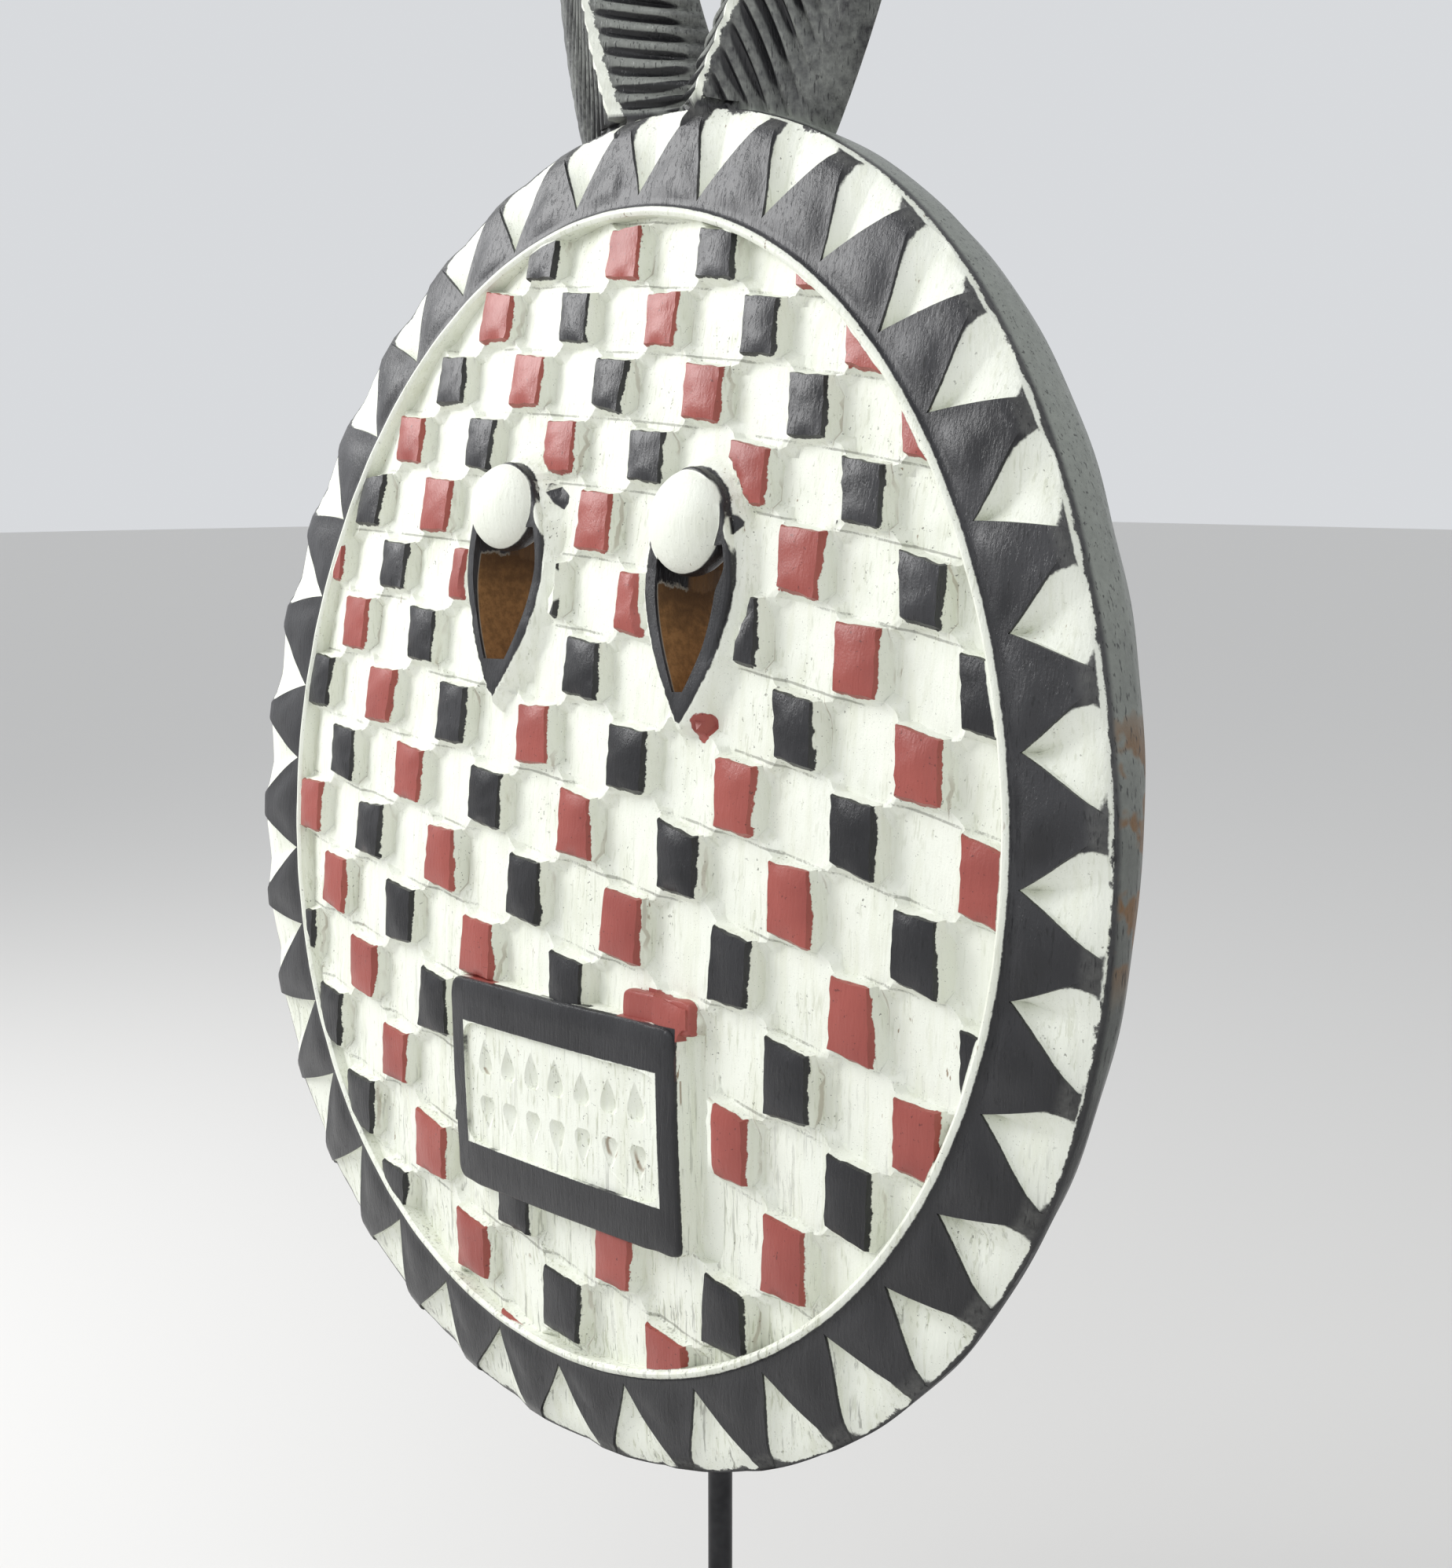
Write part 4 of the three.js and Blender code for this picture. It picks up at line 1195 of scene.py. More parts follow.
def write_places(body):
    """Paints the places that the paint follows onto the vertices, while they are still in millimetres."""
    flat = np.empty(len(body.data.vertices) * 3)
    body.data.vertices.foreach_get("co", flat)
    x, y, z = flat.reshape(-1, 3).T
    angle, radius = np.arctan2(x, y), np.hypot(x, y)
    rim = rim_at(angle)
    at = SimpleNamespace(border=radius - field_at(angle), rim=rim - radius, cut=dome_z(x, y) - z)
    at.u, at.v = to_cells(x, y)
    at.eye, at.lid = eye_places(x, y)
    at.clear = clear_places(x, y, at.eye)
    at.black_mark, at.red_mark = mark_places(x, y)
    across, up = x - MOUTH_MIDDLE[0], y - MOUTH_MIDDLE[1]
    at.mouth_x = across * math.cos(MOUTH_TURN) + up * math.sin(MOUTH_TURN)
    at.mouth_y = up * math.cos(MOUTH_TURN) - across * math.sin(MOUTH_TURN)
    at.carved = np.maximum(dome_z(radius, 0), dome_z(rim, 0)) - side_fall(radius - rim) - z
    at.side = np.where(radius > rim - SIDE_FROM, dome_z(rim, 0) - z, NO_SIDE)
    at.along, at.out = horn_places(x, y)
    at.on_horn = smooth((radius - rim - HORN_PAINT_FROM) / HORN_PAINT_FADE) * (y > HORN_PAINT_ABOVE)
    at.groove, at.inner_face, size = groove_places(at.along, at.out, at.on_horn, z)
    behind_horn = at.on_horn * smooth((HORN_Z - HORN_BACK_DEPTH * size - z) / (HORN_BACK_FADE * size))
    at.back = np.maximum(smooth((BACK_Z + BACK_PAINT_DEPTH - z) / BACK_PAINT_FADE), behind_horn)
    for name, parts in PLACES.items():
        layer = body.data.attributes.new(name, "FLOAT_VECTOR", "POINT")
        values = np.zeros((len(x), 3), dtype=np.float32)
        for k, part in enumerate(parts):
            values[:, k] = getattr(at, part)
        layer.data.foreach_set("vector", values.ravel())


def set_in_place(body):
    """Moves the mesh from the disc's frame in millimetres to the object's frame in metres."""
    tilt = Matrix.Rotation(math.pi / 2 - LEAN, 4, "X")
    body.data.transform(Matrix.Translation(DISC_MIDDLE) @ tilt @ Matrix.Scale(MM, 4))
    body.data.update()


def soften(body, angle):
    """Smooth shading that keeps the cut edges crisp."""
    body.data.shade_smooth()
    body.data.set_sharp_from_angle(angle=math.radians(angle))


def whole(value):
    return value.math("FLOOR", value + 0.5)


# The noises of the paint: scale, detail, roughness, and what x, y and z are multiplied by.
PAINT_NOISES = {
    "coarse": (420, 3, 0.6),
    "tiny": (1500, 2, 0.6),
    "broad": (60, 2, 0.5),
    "streaks": (240, 4, 0.65, (1, 1, 0.09)),
    "brushed": (900, 3, 0.6, (1, 1, 0.12)),
    "pores": (1300, 2, 0.55, (1, 1, 0.16)),
    "specks": (900, 2, 0.6),
    "patches": (34, 3, 0.6),
    "crumbs": (2100, 1, 0.5),
    "grain": (620, 3, 0.7, (1, 1, 0.06)),
    "splinters": (420, 3, 0.7, (1, 1, 0.3)),
    "worn_areas": (22, 2, 0.5),
    "gloss": (45, 2, 0.5),
    "scuffs": (60, 3, 0.6),
    "rough_wood": (420, 4, 0.75),
    "crackle": (900, 3, 0.7, (1, 1, 0.1)),
}
# The deepest black, for pores and for the painted shade in the horns' grooves.
DEEP_BLACK = (0.004, 0.004, 0.005, 1)
RED_SPECK = (0.05, 0.012, 0.012, 1)


def known_places(shade):
    """All that the paint is made from at a point: the places on the vertices, the height and the noises."""
    at = SimpleNamespace()
    for name, parts in PLACES.items():
        for part, value in zip(parts, shade.attribute(name)):
            setattr(at, part, value)
    for name, settings in PAINT_NOISES.items():
        setattr(at, name, shade.noise(*settings))
    at.height = shade.parts(shade.place())[2] - DISC_MIDDLE.z
    at.off_horn = 1 - at.on_horn
    at.ragged, at.fine, at.slow = at.coarse - 0.5, at.tiny - 0.5, at.broad - 0.5
    at.wander = at.ragged * 0.9 + at.fine * 0.4
    return at


def cell_paint(at):
    """Which cells are black or red, and where on them the paint lies."""
    number = whole(at.u) + whole(at.v)
    turn = number.math("FLOORED_MODULO", number, 4.0)
    at.is_black = 1 - (turn - 1).absolute().rises(0.2, 0.4)
    at.is_red = 1 - (turn - 3).absolute().rises(0.2, 0.4)
    at.right, at.top = at.u - whole(at.u), at.v - whole(at.v)
    at.in_field = (at.border + at.wander * 0.5).falls(-3.4, -3.1)
    at.clear_of_eye = (at.clear + at.wander * 0.6).rises(COLLAR_WIDTH - 0.9, COLLAR_WIDTH - 0.5)
    spill = at.right.rises(0.285, 0.31).greatest((0 - at.top).rises(0.285, 0.31))
    face_line = at.cut - at.wander * (0.7 + spill * 1.4) - at.slow * 0.6 - spill * (0.5 + at.slow * 4)
    return face_line.falls(1.0, 1.3) * at.in_field * at.clear_of_eye


def outside_block(at, size):
    """How far outside a block of the mouth a point is, negative inside it."""
    width, height = size
    return (at.mouth_x.absolute() - width / 2).greatest(at.mouth_y.absolute() - height / 2)


def mouth_paint(at):
    """Where the frame's black paint, the unpainted channel and the corner block are."""
    in_channel = (at.mouth_x - 59).absolute().falls(6.4, 6.8) * (at.mouth_y + 1).absolute().falls(31, 31.5)
    corner_x, corner_y = CORNER_BLOCK["middle"]
    on_corner = (at.mouth_x - corner_x).absolute().falls(14.3, 14.6)
    on_corner = on_corner * (at.mouth_y - corner_y).absolute().falls(6.2, 6.5)
    on_corner = on_corner * (at.cut - at.wander * 2).falls(2.8, 3.2)
    outside = outside_block(at, MOUTH_SIZE)
    at.off_mouth = outside.rises(-0.2, 0.2)
    frame = (at.cut + MOUTH_RISE - at.wander * 0.8).falls(1.4, 1.7) * outside.falls(0.3, 0.8)
    frame = frame * (outside_block(at, MOUTH_PANEL) + at.wander * 0.4).rises(0.0, 0.3)
    return frame, in_channel, on_corner


def eye_paint(at):
    """The black rims of the eyes with the line round their lids, all but the bare wood in the slots."""
    at.in_slot = at.eye.falls(-1.7, -1.4) * at.cut.rises(-0.1, 0.5)
    # Near the lid the slot keeps the black instead of bare wood.
    at.in_slot = at.in_slot * (at.lid - at.wander * 4 - at.slow * 8).rises(5.0, 6.5)
    at.beside_lid = (at.lid - at.wander * 0.2 - at.eye.rises(-0.3, 0.6) * 0.3).rises(0.1, 0.4)
    lid_line = at.beside_lid * (at.lid + at.wander * 0.8 + at.slow * 2).falls(1.2, 1.6)
    rims = (at.eye + at.wander * 0.4).falls(0.1, 0.4) * at.beside_lid * (1 - at.in_slot)
    return rims.greatest(lid_line)


def ring_paint(at):
    """The black of the ring and the side wall, off the chips' white floors."""
    chipped = (at.carved - at.wander * 0.6).rises(0.7, 1.0)
    chipped = chipped * (at.side + at.wander * 2.0 + at.slow * 3).falls(5.0, 5.4) * at.off_horn
    chipped = chipped * (at.rim + at.wander * 1.6 + at.slow * 2).rises(-1.3, -1.0)
    return (at.border + at.wander * 0.5).rises(-0.7, -0.4) * (1 - chipped)


def lay_paint(at):
    """Where the paint is black, where it is red, and where the wood is bare."""
    frame, in_channel, on_corner = mouth_paint(at)
    on_cells = cell_paint(at) * at.off_mouth * (1 - in_channel) * (1 - on_corner)
    ridge_line = (at.out + 0.4).absolute() - at.wander * 2.6 - at.slow * 4 + at.along * 0.03
    horn_white = at.on_horn * ridge_line.falls(2.6, 3.0) * (at.along - at.slow * 40).falls(62, 66)
    black = (on_cells * at.is_black).greatest(frame).greatest(eye_paint(at))
    black = black.greatest(at.on_horn * (1 - horn_white))
    black = black.greatest((at.black_mark + at.wander * 0.5).falls(0.0, 0.3) * at.cut.rises(-2, -1))
    at.black = black.greatest(ring_paint(at) * (1 - horn_white))
    red_spot = (at.red_mark + at.wander * 1.2).falls(0.0, 0.3) * (at.eye + at.wander * 0.4).rises(1.0, 1.4)
    at.red = (on_cells * at.is_red).greatest(red_spot).greatest(on_corner * at.off_mouth)
    inside = (at.rim + at.wander * 2).rises(22, 23) * at.cut.rises(9.5, 10.5)
    at.unpainted = inside.greatest(at.back)


def white_paint(shade, at, colours):
    """White paint with thin streaks, stains, specks, darker seams between the rows, lost flakes and painted
    shade.
    """
    off_lid = at.beside_lid.greatest(at.eye.rises(3, 5)).greatest(0.35)
    speckled = at.specks.rises(0.66, 0.70) * at.patches.rises(0.46, 0.62) * off_lid
    crumbs = at.crumbs.rises(0.70, 0.74) * (1 - at.patches).rises(0.42, 0.58) * 0.6 * off_lid
    raised = at.is_black.greatest(at.is_red)
    in_cells = at.in_field * at.clear_of_eye * at.off_mouth
    # A thin line of wood colour along the crease at the foot of each raised block's right wall.
    crease = raised * (at.right - 0.377 + at.wander * 0.006).absolute().falls(0.004, 0.010)
    crease = crease * at.top.absolute().falls(0.42, 0.5) * at.patches.rises(0.46, 0.60) * in_cells * 0.6
    # Painted shade on the right walls of the raised blocks, which face away from the light.
    wall = raised * at.right.rises(0.30, 0.32) * at.right.falls(0.36, 0.38) * in_cells
    # Streaks, brushing and grain are stronger towards the bottom, so the white is darker there.
    low = (0 - at.height).rises(0.0, 0.16)
    brushing = at.brushed.rises(0.56, 0.66) * at.patches.rises(0.38, 0.6) * off_lid
    grain = at.grain.rises(0.56, 0.66) * at.slow.rises(-0.12, 0.06)
    # A thin darker line along the seams between the rows.
    seam = (at.top.absolute() - 0.5 + at.ragged * 0.03).absolute().falls(0.008, 0.022)
    seam = seam * (at.patches + at.fine * 0.3).rises(0.46, 0.58) * in_cells
    flaked = at.splinters.rises(0.67, 0.72) * at.worn_areas.rises(0.50, 0.62)
    white = colours.white
    for share, over in (
        (at.streaks.rises(0.47, 0.66) * off_lid * (0.65 + low * 0.3), colours.shade),
        (brushing * (0.4 + low * 0.4), colours.stain),
        (grain * low * 0.5, colours.dark_marks),
        # The blocks' right walls get painted shade.
        (wall * 0.25, colours.shade),
        (at.patches.rises(0.50, 0.78) * 0.25, colours.stain),
        (speckled.greatest(crumbs) * 0.7, colours.dark_marks),
        (seam * 0.5, colours.dark_marks),
        (flaked.greatest(crease * 0.8) * 0.8, colours.wood),
    ):
        white = shade.mix(share, white, over)
    return white


def black_paint(shade, at, colours):
    """Black paint: rubbed at the rim, dusted on the wall; painted sheen up high, painted highlight on
    horns, painted shade in grooves.
    """
    rubbed = at.rim.falls(1.0, 4.0) * (0 - at.rim).falls(0.5, 2.0) * at.off_horn
    wall = at.side.rises(6, 8)
    # A dusting with painted sheen: the side wall is greyer on its upper half, where the light falls.
    dusting_and_sheen = wall * at.off_horn * (at.height + at.slow * 0.1).rises(-0.12, 0.12)
    scuffed = wall * at.off_horn * at.scuffs.rises(0.50, 0.56)
    scuffed = scuffed * (at.height - 0.01).absolute().falls(0.02, 0.04)
    soot = colours.black
    for share, over in (
        # Worn grey patches in the black, stronger on the upper half as painted sheen.
        (at.gloss.rises(0.35, 0.7) * (0.25 + at.height.rises(-0.1, 0.1) * 0.5), colours.worn_black_and_sheen),
        (rubbed * (0.35 + at.ragged), colours.rubbed),
        (dusting_and_sheen * (0.85 + at.ragged * 0.5), colours.dust_and_sheen),
        # Painted highlight: the horns are greyed, most of all on their inner grooved faces.
        (at.on_horn * (0.45 + at.inner_face * 0.5 + at.ragged * 1.4 + at.slow * 1.2), colours.horn_highlight_grey),
        # Painted shade: the horns' grooves are painted deepest black.
        ((at.groove + at.ragged * 0.3).rises(0.30, 0.60), DEEP_BLACK),
        (scuffed * 0.9, colours.wood),
        (at.pores.rises(0.60, 0.68) * 0.75, DEEP_BLACK),
    ):
        soot = shade.mix(share, soot, over)
    return soot


def lit_slot_wood(shade, at, colours):
    """Bare wood in the eye slots, painted lighter as if lit, and darker under the lids as painted shade."""
    # Painted shade under the lids.
    shade_under_lid = (at.lid - at.slow * 16 - at.ragged * 8).falls(4, 22)
    # Painted light: the slot's wood is lighter than the bare wood elsewhere.
    lit = shade.mix(at.rough_wood.rises(0.36, 0.66) * 0.8, colours.lit_slot_wood, colours.wood)
    return shade.mix(shade_under_lid, lit, colours.dark_wood_and_shade)


def painted_wood(colours):
    """White, black and red paint over carved wood, with the wood bare inside the hollow and behind."""
    shade = Shader("painted wood")
    at = known_places(shade)
    lay_paint(at)
    brick = shade.mix(at.gloss.rises(0.35, 0.7) * 0.6, colours.red, colours.red_dark)
    brick = shade.mix(at.specks.rises(0.66, 0.72) * 0.6, brick, RED_SPECK)
    timber = shade.mix(at.streaks.rises(0.3, 0.7), colours.wood, colours.dark_wood_and_shade)
    worn = (at.cut - 0.9).absolute().falls(0.1, 0.5) * at.in_field
    worn = worn * at.top.rises(0.2, 0.26) * at.slow.rises(-0.02, 0.12) * 0.7
    colour = white_paint(shade, at, colours)
    for share, over in (
        (at.black, black_paint(shade, at, colours)),
        (at.red, brick),
        (worn * (1 - at.black) * (1 - at.red) * at.clear_of_eye, colours.wood),
        (at.unpainted, timber),
        (at.in_slot, lit_slot_wood(shade, at, colours)),
    ):
        colour = shade.mix(share, colour, over)

    dark = at.black.greatest(at.red)
    bare = at.unpainted.greatest(at.in_slot)
    roughness = 0.62 - dark * 0.30 + at.gloss * 0.12 * dark + bare * 0.25
    relief = at.streaks * 0.5 + at.brushed * 0.3 + at.pores * 0.3 + dark * 0.35 + at.fine * 0.2
    relief = relief - at.crackle.rises(0.56, 0.66) * at.black * 0.22 + at.gloss * 1.2
    normal = shade.bump(relief, strength=0.65, distance=0.0005)
    return shade.finish({"Base Color": colour, "Roughness": roughness, "Normal": normal})


def blackened_steel(colours):
    shade = Shader("blackened steel")
    cloud = shade.noise(70, 3, 0.6)
    colour = shade.mix(cloud.rises(0.35, 0.7), colours.steel, colours.steel_worn)
    roughness = 0.36 + cloud * 0.16
    normal = shade.bump(shade.noise(1800, 2, 0.5), 0.15, 0.0001)
    return shade.finish({"Base Color": colour, "Roughness": roughness, "Metallic": 0.6, "Normal": normal})


def stained_block(colours):
    shade = Shader("stained block")
    grain = shade.noise(120, 4, 0.6, (0.07, 1, 1))
    pores = shade.noise(900, 2, 0.5, (0.06, 1, 1))
    colour = shade.mix(grain.rises(0.3, 0.7), colours.foot, colours.foot_worn)
    roughness = 0.42 + grain * 0.12
    normal = shade.bump(grain * 0.4 + pores * 0.6, 0.3, 0.0002)
    return shade.finish({"Base Color": colour, "Roughness": roughness, "Normal": normal})


def plain_finish(name, colour, roughness):
    return Shader(name).finish({"Base Color": colour, "Roughness": roughness})


# The stand.
ROD_RADIUS = 4
ROD_X = 8
ROD_Y = 28
ROD_LOW = 7.3
BEND_FROM = 30
BEND_INTO = 112
BEND_DEPTH = 38
BAR_RADIUS = 3.5
BAR_INSET = 12.5
BAR_Z = -43
BAR_REACH = math.radians(20)
PEG_Y = -181
PEG_RADIUS = 3
PAD_RADIUS = 5.5
PAD_LENGTH = 4
CONTACT_GAP = 0.3
# How far the upright goes on straight under its bend, and how far the peg runs into its pad.
BELOW_BEND = 30
PEG_IN_PAD = 1
UPRIGHT_STEPS = 12
CRADLE_STEPS = 10
BAR_SIDES = 32
END_EASE = 0.6
# The bead of the weld between peg and upright: rise and radius.
BEAD = ((-4.2, 3.9), (-3.2, 4.4), (0, 4.7), (3.2, 4.4), (4.2, 3.9))
ROD_EDGE_ANGLE = 40


def from_disc(x, y, z):
    """A point given in millimetres in the disc's frame, in millimetres in the object's frame."""
    up = Vector((0, math.sin(LEAN), math.cos(LEAN)))
    facing = Vector((0, -math.cos(LEAN), math.sin(LEAN)))
    return DISC_MIDDLE / MM + Vector((x, 0, 0)) + up * y + facing * z


def smooth_route(corners, steps):
    """A curve through corners, with the spacing of its bends set by the distances between them."""
    corners = [Vector(corner) for corner in corners]
    knots = [0.0]
    for before, after in zip(corners, corners[1:]):
        knots.append(knots[-1] + math.sqrt((after - before).length))
    corners = [2 * corners[0] - corners[1]] + corners + [2 * corners[-1] - corners[-2]]
    knots = [-(knots[1] - knots[0])] + knots + [2 * knots[-1] - knots[-2]]
    route = []
    for k in range(1, len(corners) - 2):
        t0, t1, t2, t3 = knots[k - 1:k + 3]
        for step in range(steps):
            t = t1 + (t2 - t1) * step / steps
            a1 = corners[k - 1].lerp(corners[k], (t - t0) / (t1 - t0))
            a2 = corners[k].lerp(corners[k + 1], (t - t1) / (t2 - t1))
            a3 = corners[k + 1].lerp(corners[k + 2], (t - t2) / (t3 - t2))
            b1 = a1.lerp(a2, (t - t0) / (t2 - t0))
            b2 = a2.lerp(a3, (t - t1) / (t3 - t1))
            route.append(b1.lerp(b2, (t - t1) / (t2 - t1)))
    route.append(corners[-2])
    return route


def round_bar(route, radii):
    """Points and faces of a round bar along a route, with a radius at each point."""
    rings = []
    side = None
    for k, here in enumerate(route):
        ahead = (route[min(k + 1, len(route) - 1)] - route[max(k - 1, 0)]).normalized()
        if side is None:
            side = ahead.orthogonal().normalized()
        side = (side - ahead * side.dot(ahead)).normalized()
        other = ahead.cross(side)
        ring = []
        for n in range(BAR_SIDES):
            turn = 2 * math.pi * n / BAR_SIDES
            ring.append(here + (side * math.cos(turn) + other * math.sin(turn)) * radii[k])
        rings.append(ring)
    return skin(route[0], rings, route[-1])


def blunt(route, radius):
    """The route and its radii with softened ends."""
    first, second, last, before = route[0], route[1], route[-1], route[-2]
    start = first.lerp(second, END_EASE / (second - first).length)
    end = last.lerp(before, END_EASE / (before - last).length)
    radii = [radius - END_EASE] + [radius] * len(route) + [radius - END_EASE]
    return [first, start] + route[1:-1] + [end, last], radii


def bar_place(turn):
    """A point on the curved bar, a turn away from the rod."""
    angle = math.atan2(ROD_X, float(mouth_radius(0.0))) + turn
    radius = float(mouth_radius(angle)) - BAR_INSET
    return from_disc(radius * math.sin(angle), radius * math.cos(angle), BAR_Z)


def shape_rod():
    """The upright with its bend, the curved bar, the peg and its pad, welded into one piece."""
    rod_x = DISC_MIDDLE.x / MM + ROD_X
    bend_z = from_disc(0, BEND_FROM, 0).z
    upright = smooth_route([
        (rod_x, ROD_Y, ROD_LOW), (rod_x, ROD_Y, (ROD_LOW + bend_z) / 2),
        (rod_x, ROD_Y, bend_z - BELOW_BEND), (rod_x, ROD_Y, bend_z),
        from_disc(ROD_X, BEND_INTO, -BEND_DEPTH), bar_place(0)], UPRIGHT_STEPS)
    cradle = smooth_route([bar_place(k * BAR_REACH) for k in (-1, -0.5, 0, 0.5, 1)], CRADLE_STEPS)
    depth = (ROD_Y - from_disc(0, PEG_Y, 0).y) / math.cos(LEAN)
    start = BACK_Z - CONTACT_GAP
    peg = [from_disc(ROD_X, PEG_Y, start - PEG_IN_PAD), from_disc(ROD_X, PEG_Y, -depth)]
    pad = [from_disc(ROD_X, PEG_Y, start), from_disc(ROD_X, PEG_Y, start - PAD_LENGTH)]
    rod = solid("rod", *round_bar(*blunt(upright, ROD_RADIUS)))
    for route, radius in ((cradle, BAR_RADIUS), (pad, PAD_RADIUS)):
        combine(rod, solid("bar", *round_bar(*blunt(route, radius))), "UNION")
    combine(rod, solid("peg", *round_bar(peg, [PEG_RADIUS] * 2)), "UNION")
    bead = [peg[1] + Vector((0, 0, rise)) for rise, _ in BEAD]
    combine(rod, solid("weld", *round_bar(bead, [radius for _, radius in BEAD])), "UNION")
    rod.data.transform(Matrix.Scale(MM, 4))
    return rod


# What a user can change.

def colour_setting(name, description, value):
    return bpy.props.FloatVectorProperty(name=name, description=description, default=value,
                                         subtype="COLOR", size=4, min=0, max=1)


class GoliMaskColours(bpy.types.PropertyGroup):
    """Paint, wood and metal of the mask and its stand."""

    white: colour_setting("White", "Cream-white paint", (0.79, 0.81, 0.725, 1))
    # Thin white for the streaks, and painted shade on the blocks' right walls.
    shade: colour_setting("Thin white", "White paint where the brush left it thin", (0.72, 0.74, 0.63, 1))
    stain: colour_setting("Stain", "Green-grey stains in the white paint", (0.46, 0.48, 0.36, 1))
    # Dark specks, grain lines and the seams between the rows in the white paint.
    dark_marks: colour_setting("Dirt", "Dark specks in the white paint", (0.045, 0.04, 0.028, 1))
    black: colour_setting("Black", "Black paint", (0.009, 0.009, 0.011, 1))
    # Black rubbed grey, also used as painted sheen on the upper half.
    worn_black_and_sheen: colour_setting("Worn black", "Black paint rubbed grey", (0.040, 0.040, 0.044, 1))
    red: colour_setting("Red", "Brick-red paint", (0.34, 0.076, 0.060, 1))
    red_dark: colour_setting("Dark red", "Brick-red paint where it is thick", (0.25, 0.046, 0.037, 1))
    rubbed: colour_setting("Rubbed black", "Black paint rubbed through at the rim", (0.14, 0.14, 0.13, 1))
    # Painted highlight on the black of the horns.
    horn_highlight_grey: colour_setting("Horn grey", "Black paint of the horns, worn grey", (0.23, 0.24, 0.22, 1))
    # Grey-green dusting, and painted sheen on the upper side wall.
    dust_and_sheen: colour_setting("Dust", "Grey-green dust on the side wall", (0.29, 0.31, 0.275, 1))
    # Bare wood in the slots, made lighter as painted light.
    lit_slot_wood: colour_setting("Slot wood", "Bare wood in the eye slots", (0.30, 0.15, 0.05, 1))
    wood: colour_setting("Wood", "Bare wood", (0.17, 0.082, 0.022, 1))
    # Bare wood's grain, and the painted shade under the lids.
    dark_wood_and_shade: colour_setting("Dark wood", "Bare wood along its grain", (0.085, 0.040, 0.012, 1))
    steel: colour_setting("Steel", "Blackened steel of the rod", (0.018, 0.018, 0.020, 1))
    steel_worn: colour_setting("Worn steel", "Rubbed steel of the rod", (0.045, 0.045, 0.048, 1))
    foot: colour_setting("Foot", "Black-stained wood of the foot", (0.012, 0.010, 0.009, 1))
    foot_worn: colour_setting("Foot grain", "Lighter grain of the foot", (0.028, 0.022, 0.018, 1))


def number_setting(name, description, value, **more):
    return bpy.props.FloatProperty(name=name, description=description, default=value, **more)


class GoliMaskSizes(bpy.types.PropertyGroup):
    """How crisp the carving is shaded, and how the studio is lit."""

    edge_angle: number_setting("Edge angle", "Edges sharper than this stay crisp",
                               math.radians(38), subtype="ANGLE")
    lens: number_setting("Lens", "Focal length of the camera on a 36 mm sensor", 45.09, unit="CAMERA")
    key_power: number_setting("Key light", "Power of the large soft light", 8.2, unit="POWER")
    sheen_power: number_setting("Sheen light", "Power of the low light from the left", 9.5, unit="POWER")
    fill_power: number_setting("Fill light", "Power of the light from the right", 4.2, unit="POWER")
    room_light: number_setting("Room light", "Strength of the light from all round", 0.74, min=0)


# The stage: the floor, the room and the lamps, with each one's place from the disc and its width.
FLOOR_WIDTH = 30
FLOOR_COLOUR = (0.72, 0.71, 0.69, 1)
FLOOR_ROUGHNESS = 0.7
ROOM_COLOUR = (0.93, 0.95, 0.98, 1)
LAMPS = {
    "key": ((-0.85, -1.0, 0.85), 0.8),
    "sheen": ((-0.93, -0.50, 0.72), 0.75),
    "fill": ((0.9, -1.3, 0.5), 1.4),
}
SENSOR_WIDTH = 36
NEAREST_SEEN = 0.01


def colours():
    """The colours as plain values."""
    settings = bpy.context.scene.goli_mask_colours
    names = GoliMaskColours.__annotations__
    return SimpleNamespace(**{name: tuple(getattr(settings, name)) for name in names})


def finish_surface(piece, angle, material):
    """Shades a piece with its edges crisp and gives it its one material."""
    soften(piece, angle)
    piece.data.materials.clear()
    piece.data.materials.append(material)


def put_in_place(piece, name, node):
    """Names a finished piece, rides it on the object and lets it stand for its solid."""
    piece.name = name
    piece.data.name = name
    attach(piece, "root")
    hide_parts(node)


class CarveMask(bpy.types.Operator):
    """Carve the disc, its face and its horns out of one block, and paint them"""

    bl_idname = "goli_mask.carve_mask"
    bl_label = "Carve mask"

    def execute(self, context):
        mask = carve_mask()
        write_places(mask)
        set_in_place(mask)
        edge_angle = math.degrees(context.scene.goli_mask_sizes.edge_angle)
        finish_surface(mask, edge_angle, painted_wood(colours()))
        put_in_place(mask, "carved_mask", "mask")
        return {"FINISHED"}


class BendRod(bpy.types.Operator):
    """Bend and weld the steel rod that carries the mask"""

    bl_idname = "goli_mask.bend_rod"
    bl_label = "Bend rod"

    def execute(self, context):
        rod = shape_rod()
        finish_surface(rod, ROD_EDGE_ANGLE, blackened_steel(colours()))
        put_in_place(rod, "bent_rod", "stand_rod")
        return {"FINISHED"}


class StainFoot(bpy.types.Operator):
    """Give the foot its black-stained wood"""

    bl_idname = "goli_mask.stain_foot"
    bl_label = "Stain foot"

    def execute(self, context):
        foot = frame["nodes"]["stand_foot"]
        finish = stained_block(colours())
        if not foot.material_slots:
            raise RuntimeError("the foot has no material slot")
        for slot in foot.material_slots:
            slot.material = finish
        return {"FINISHED"}


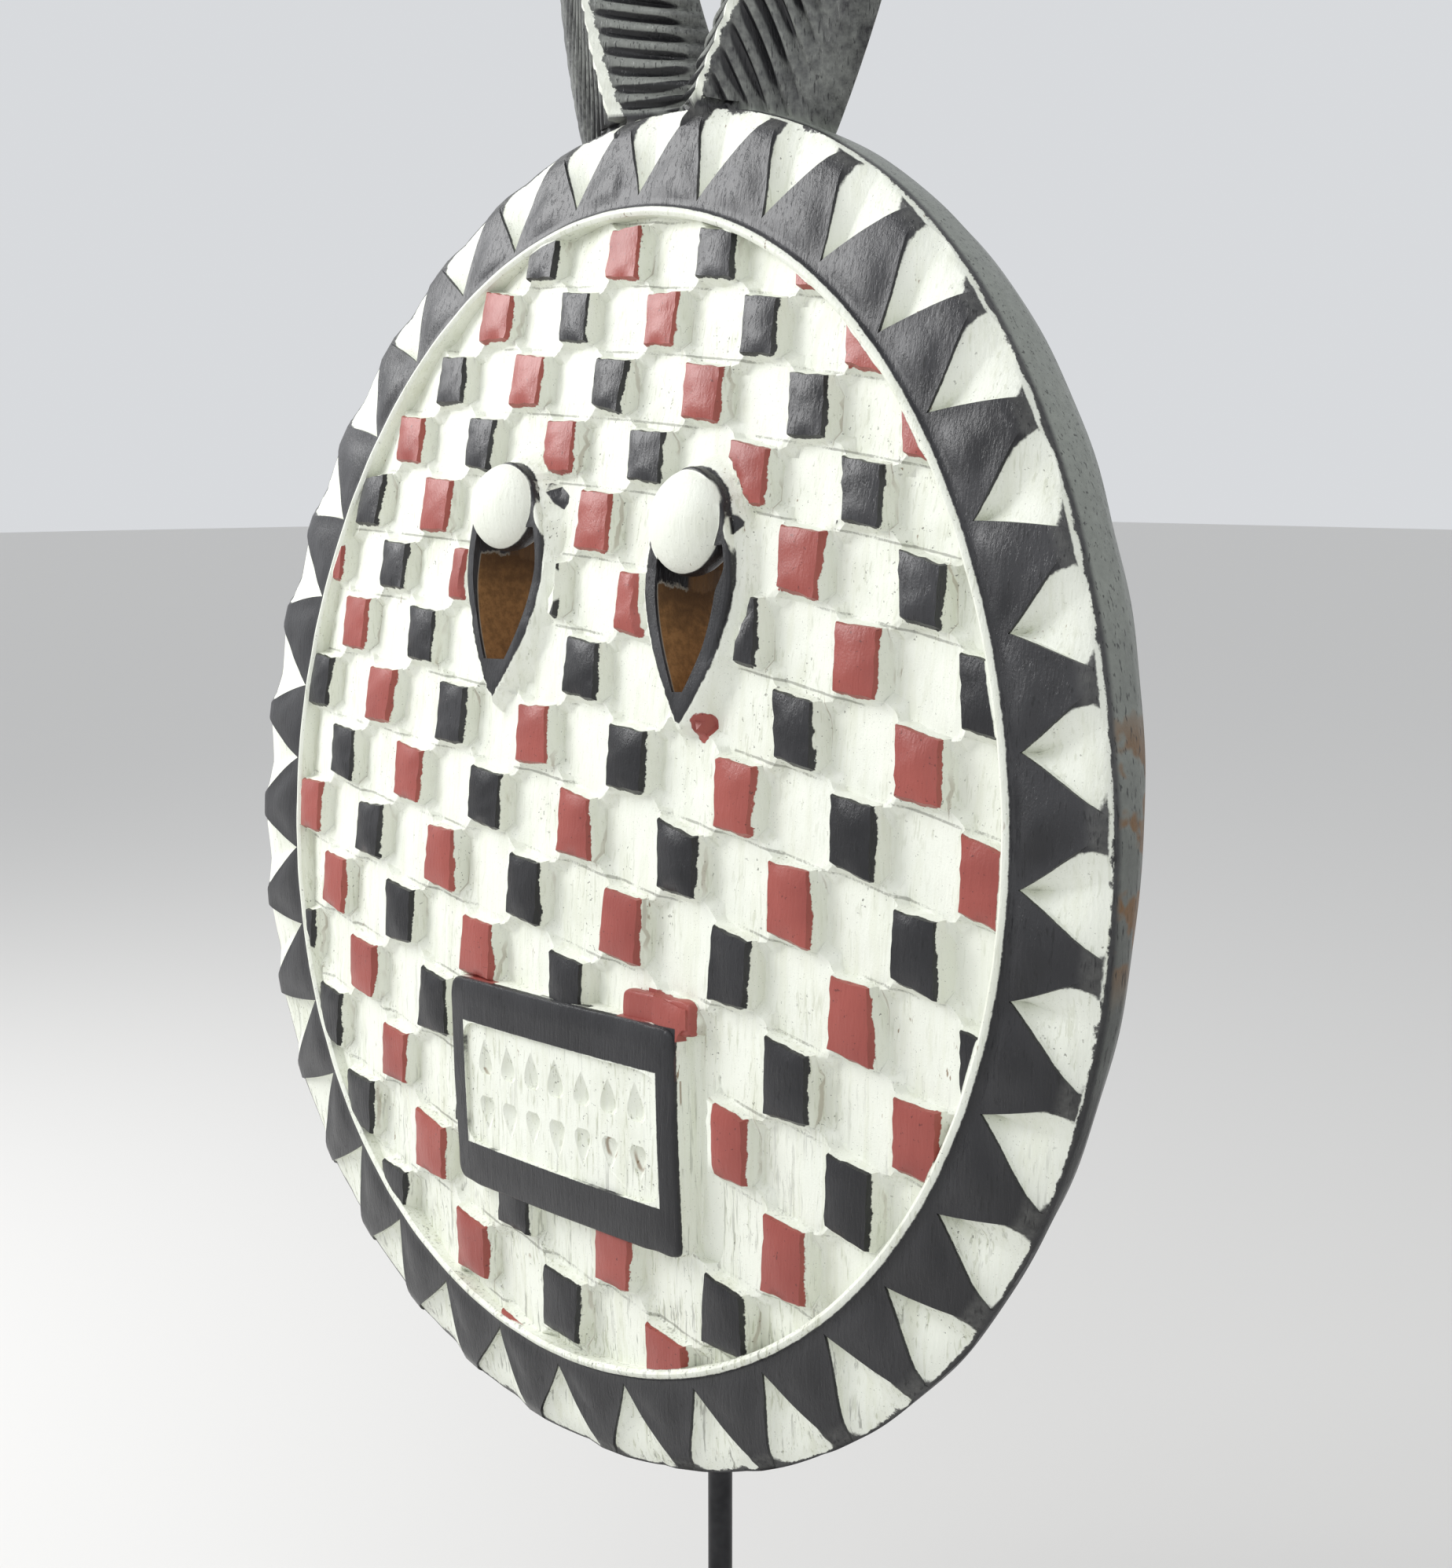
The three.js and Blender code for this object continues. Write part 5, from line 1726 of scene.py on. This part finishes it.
class SetStage(bpy.types.Operator):
    """Lay the floor, hang the lights and set the camera"""

    bl_idname = "goli_mask.set_stage"
    bl_label = "Set stage"

    def execute(self, context):
        settings = context.scene.goli_mask_sizes
        bpy.ops.mesh.primitive_plane_add(size=FLOOR_WIDTH, location=(0, 0, 0))
        floor = context.object
        floor.name = "studio_floor"
        floor.data.materials.append(plain_finish("pale floor", FLOOR_COLOUR, FLOOR_ROUGHNESS))

        world = bpy.data.worlds.new("pale room")
        context.scene.world = world
        world.use_nodes = True
        background = world.node_tree.nodes["Background"]
        background.inputs["Color"].default_value = ROOM_COLOUR
        background.inputs["Strength"].default_value = settings.room_light

        for name, (place, width) in LAMPS.items():
            place = Vector(place)
            lamp = bpy.data.lights.new(name, "AREA")
            lamp.size = width
            lamp.energy = getattr(settings, name + "_power")
            holder = bpy.data.objects.new(name, lamp)
            holder.location = DISC_MIDDLE + place
            holder.rotation_euler = (-place).to_track_quat("-Z", "Y").to_euler()
            context.scene.collection.objects.link(holder)

        lens = bpy.data.cameras.new("camera")
        lens.sensor_fit = "AUTO"
        lens.sensor_width = SENSOR_WIDTH
        lens.lens = settings.lens
        lens.clip_start = NEAREST_SEEN
        camera = bpy.data.objects.new("camera", lens)
        camera.location = DISC_MIDDLE + CAMERA_OFFSET
        camera.rotation_euler = CAMERA_FORWARD.to_track_quat("-Z", "Y").to_euler()
        context.scene.collection.objects.link(camera)
        context.scene.camera = camera
        context.scene.view_settings.view_transform = "Standard"
        return {"FINISHED"}


class GoliMaskPanel(bpy.types.Panel):
    """Lists the steps that make the mask and its stand"""

    bl_idname = "VIEW3D_PT_goli_mask"
    bl_label = "Goli Mask"
    bl_space_type = "VIEW_3D"
    bl_region_type = "UI"
    bl_category = "Goli Mask"

    def draw(self, context):
        for step in STEPS:
            self.layout.operator(step.bl_idname)
        for settings in (context.scene.goli_mask_sizes, context.scene.goli_mask_colours):
            for name in type(settings).__annotations__:
                self.layout.prop(settings, name)


STEPS = (CarveMask, BendRod, StainFoot, SetStage)
CLASSES = (GoliMaskColours, GoliMaskSizes, *STEPS, GoliMaskPanel)


def register():
    for cls in CLASSES:
        bpy.utils.register_class(cls)
    bpy.types.Scene.goli_mask_colours = bpy.props.PointerProperty(type=GoliMaskColours)
    bpy.types.Scene.goli_mask_sizes = bpy.props.PointerProperty(type=GoliMaskSizes)


def unregister():
    del bpy.types.Scene.goli_mask_sizes
    del bpy.types.Scene.goli_mask_colours
    for cls in reversed(CLASSES):
        bpy.utils.unregister_class(cls)


def main():
    register()
    for step in STEPS:
        group, name = step.bl_idname.split(".")
        getattr(getattr(bpy.ops, group), name)()


if __name__ == "__main__":
    main()
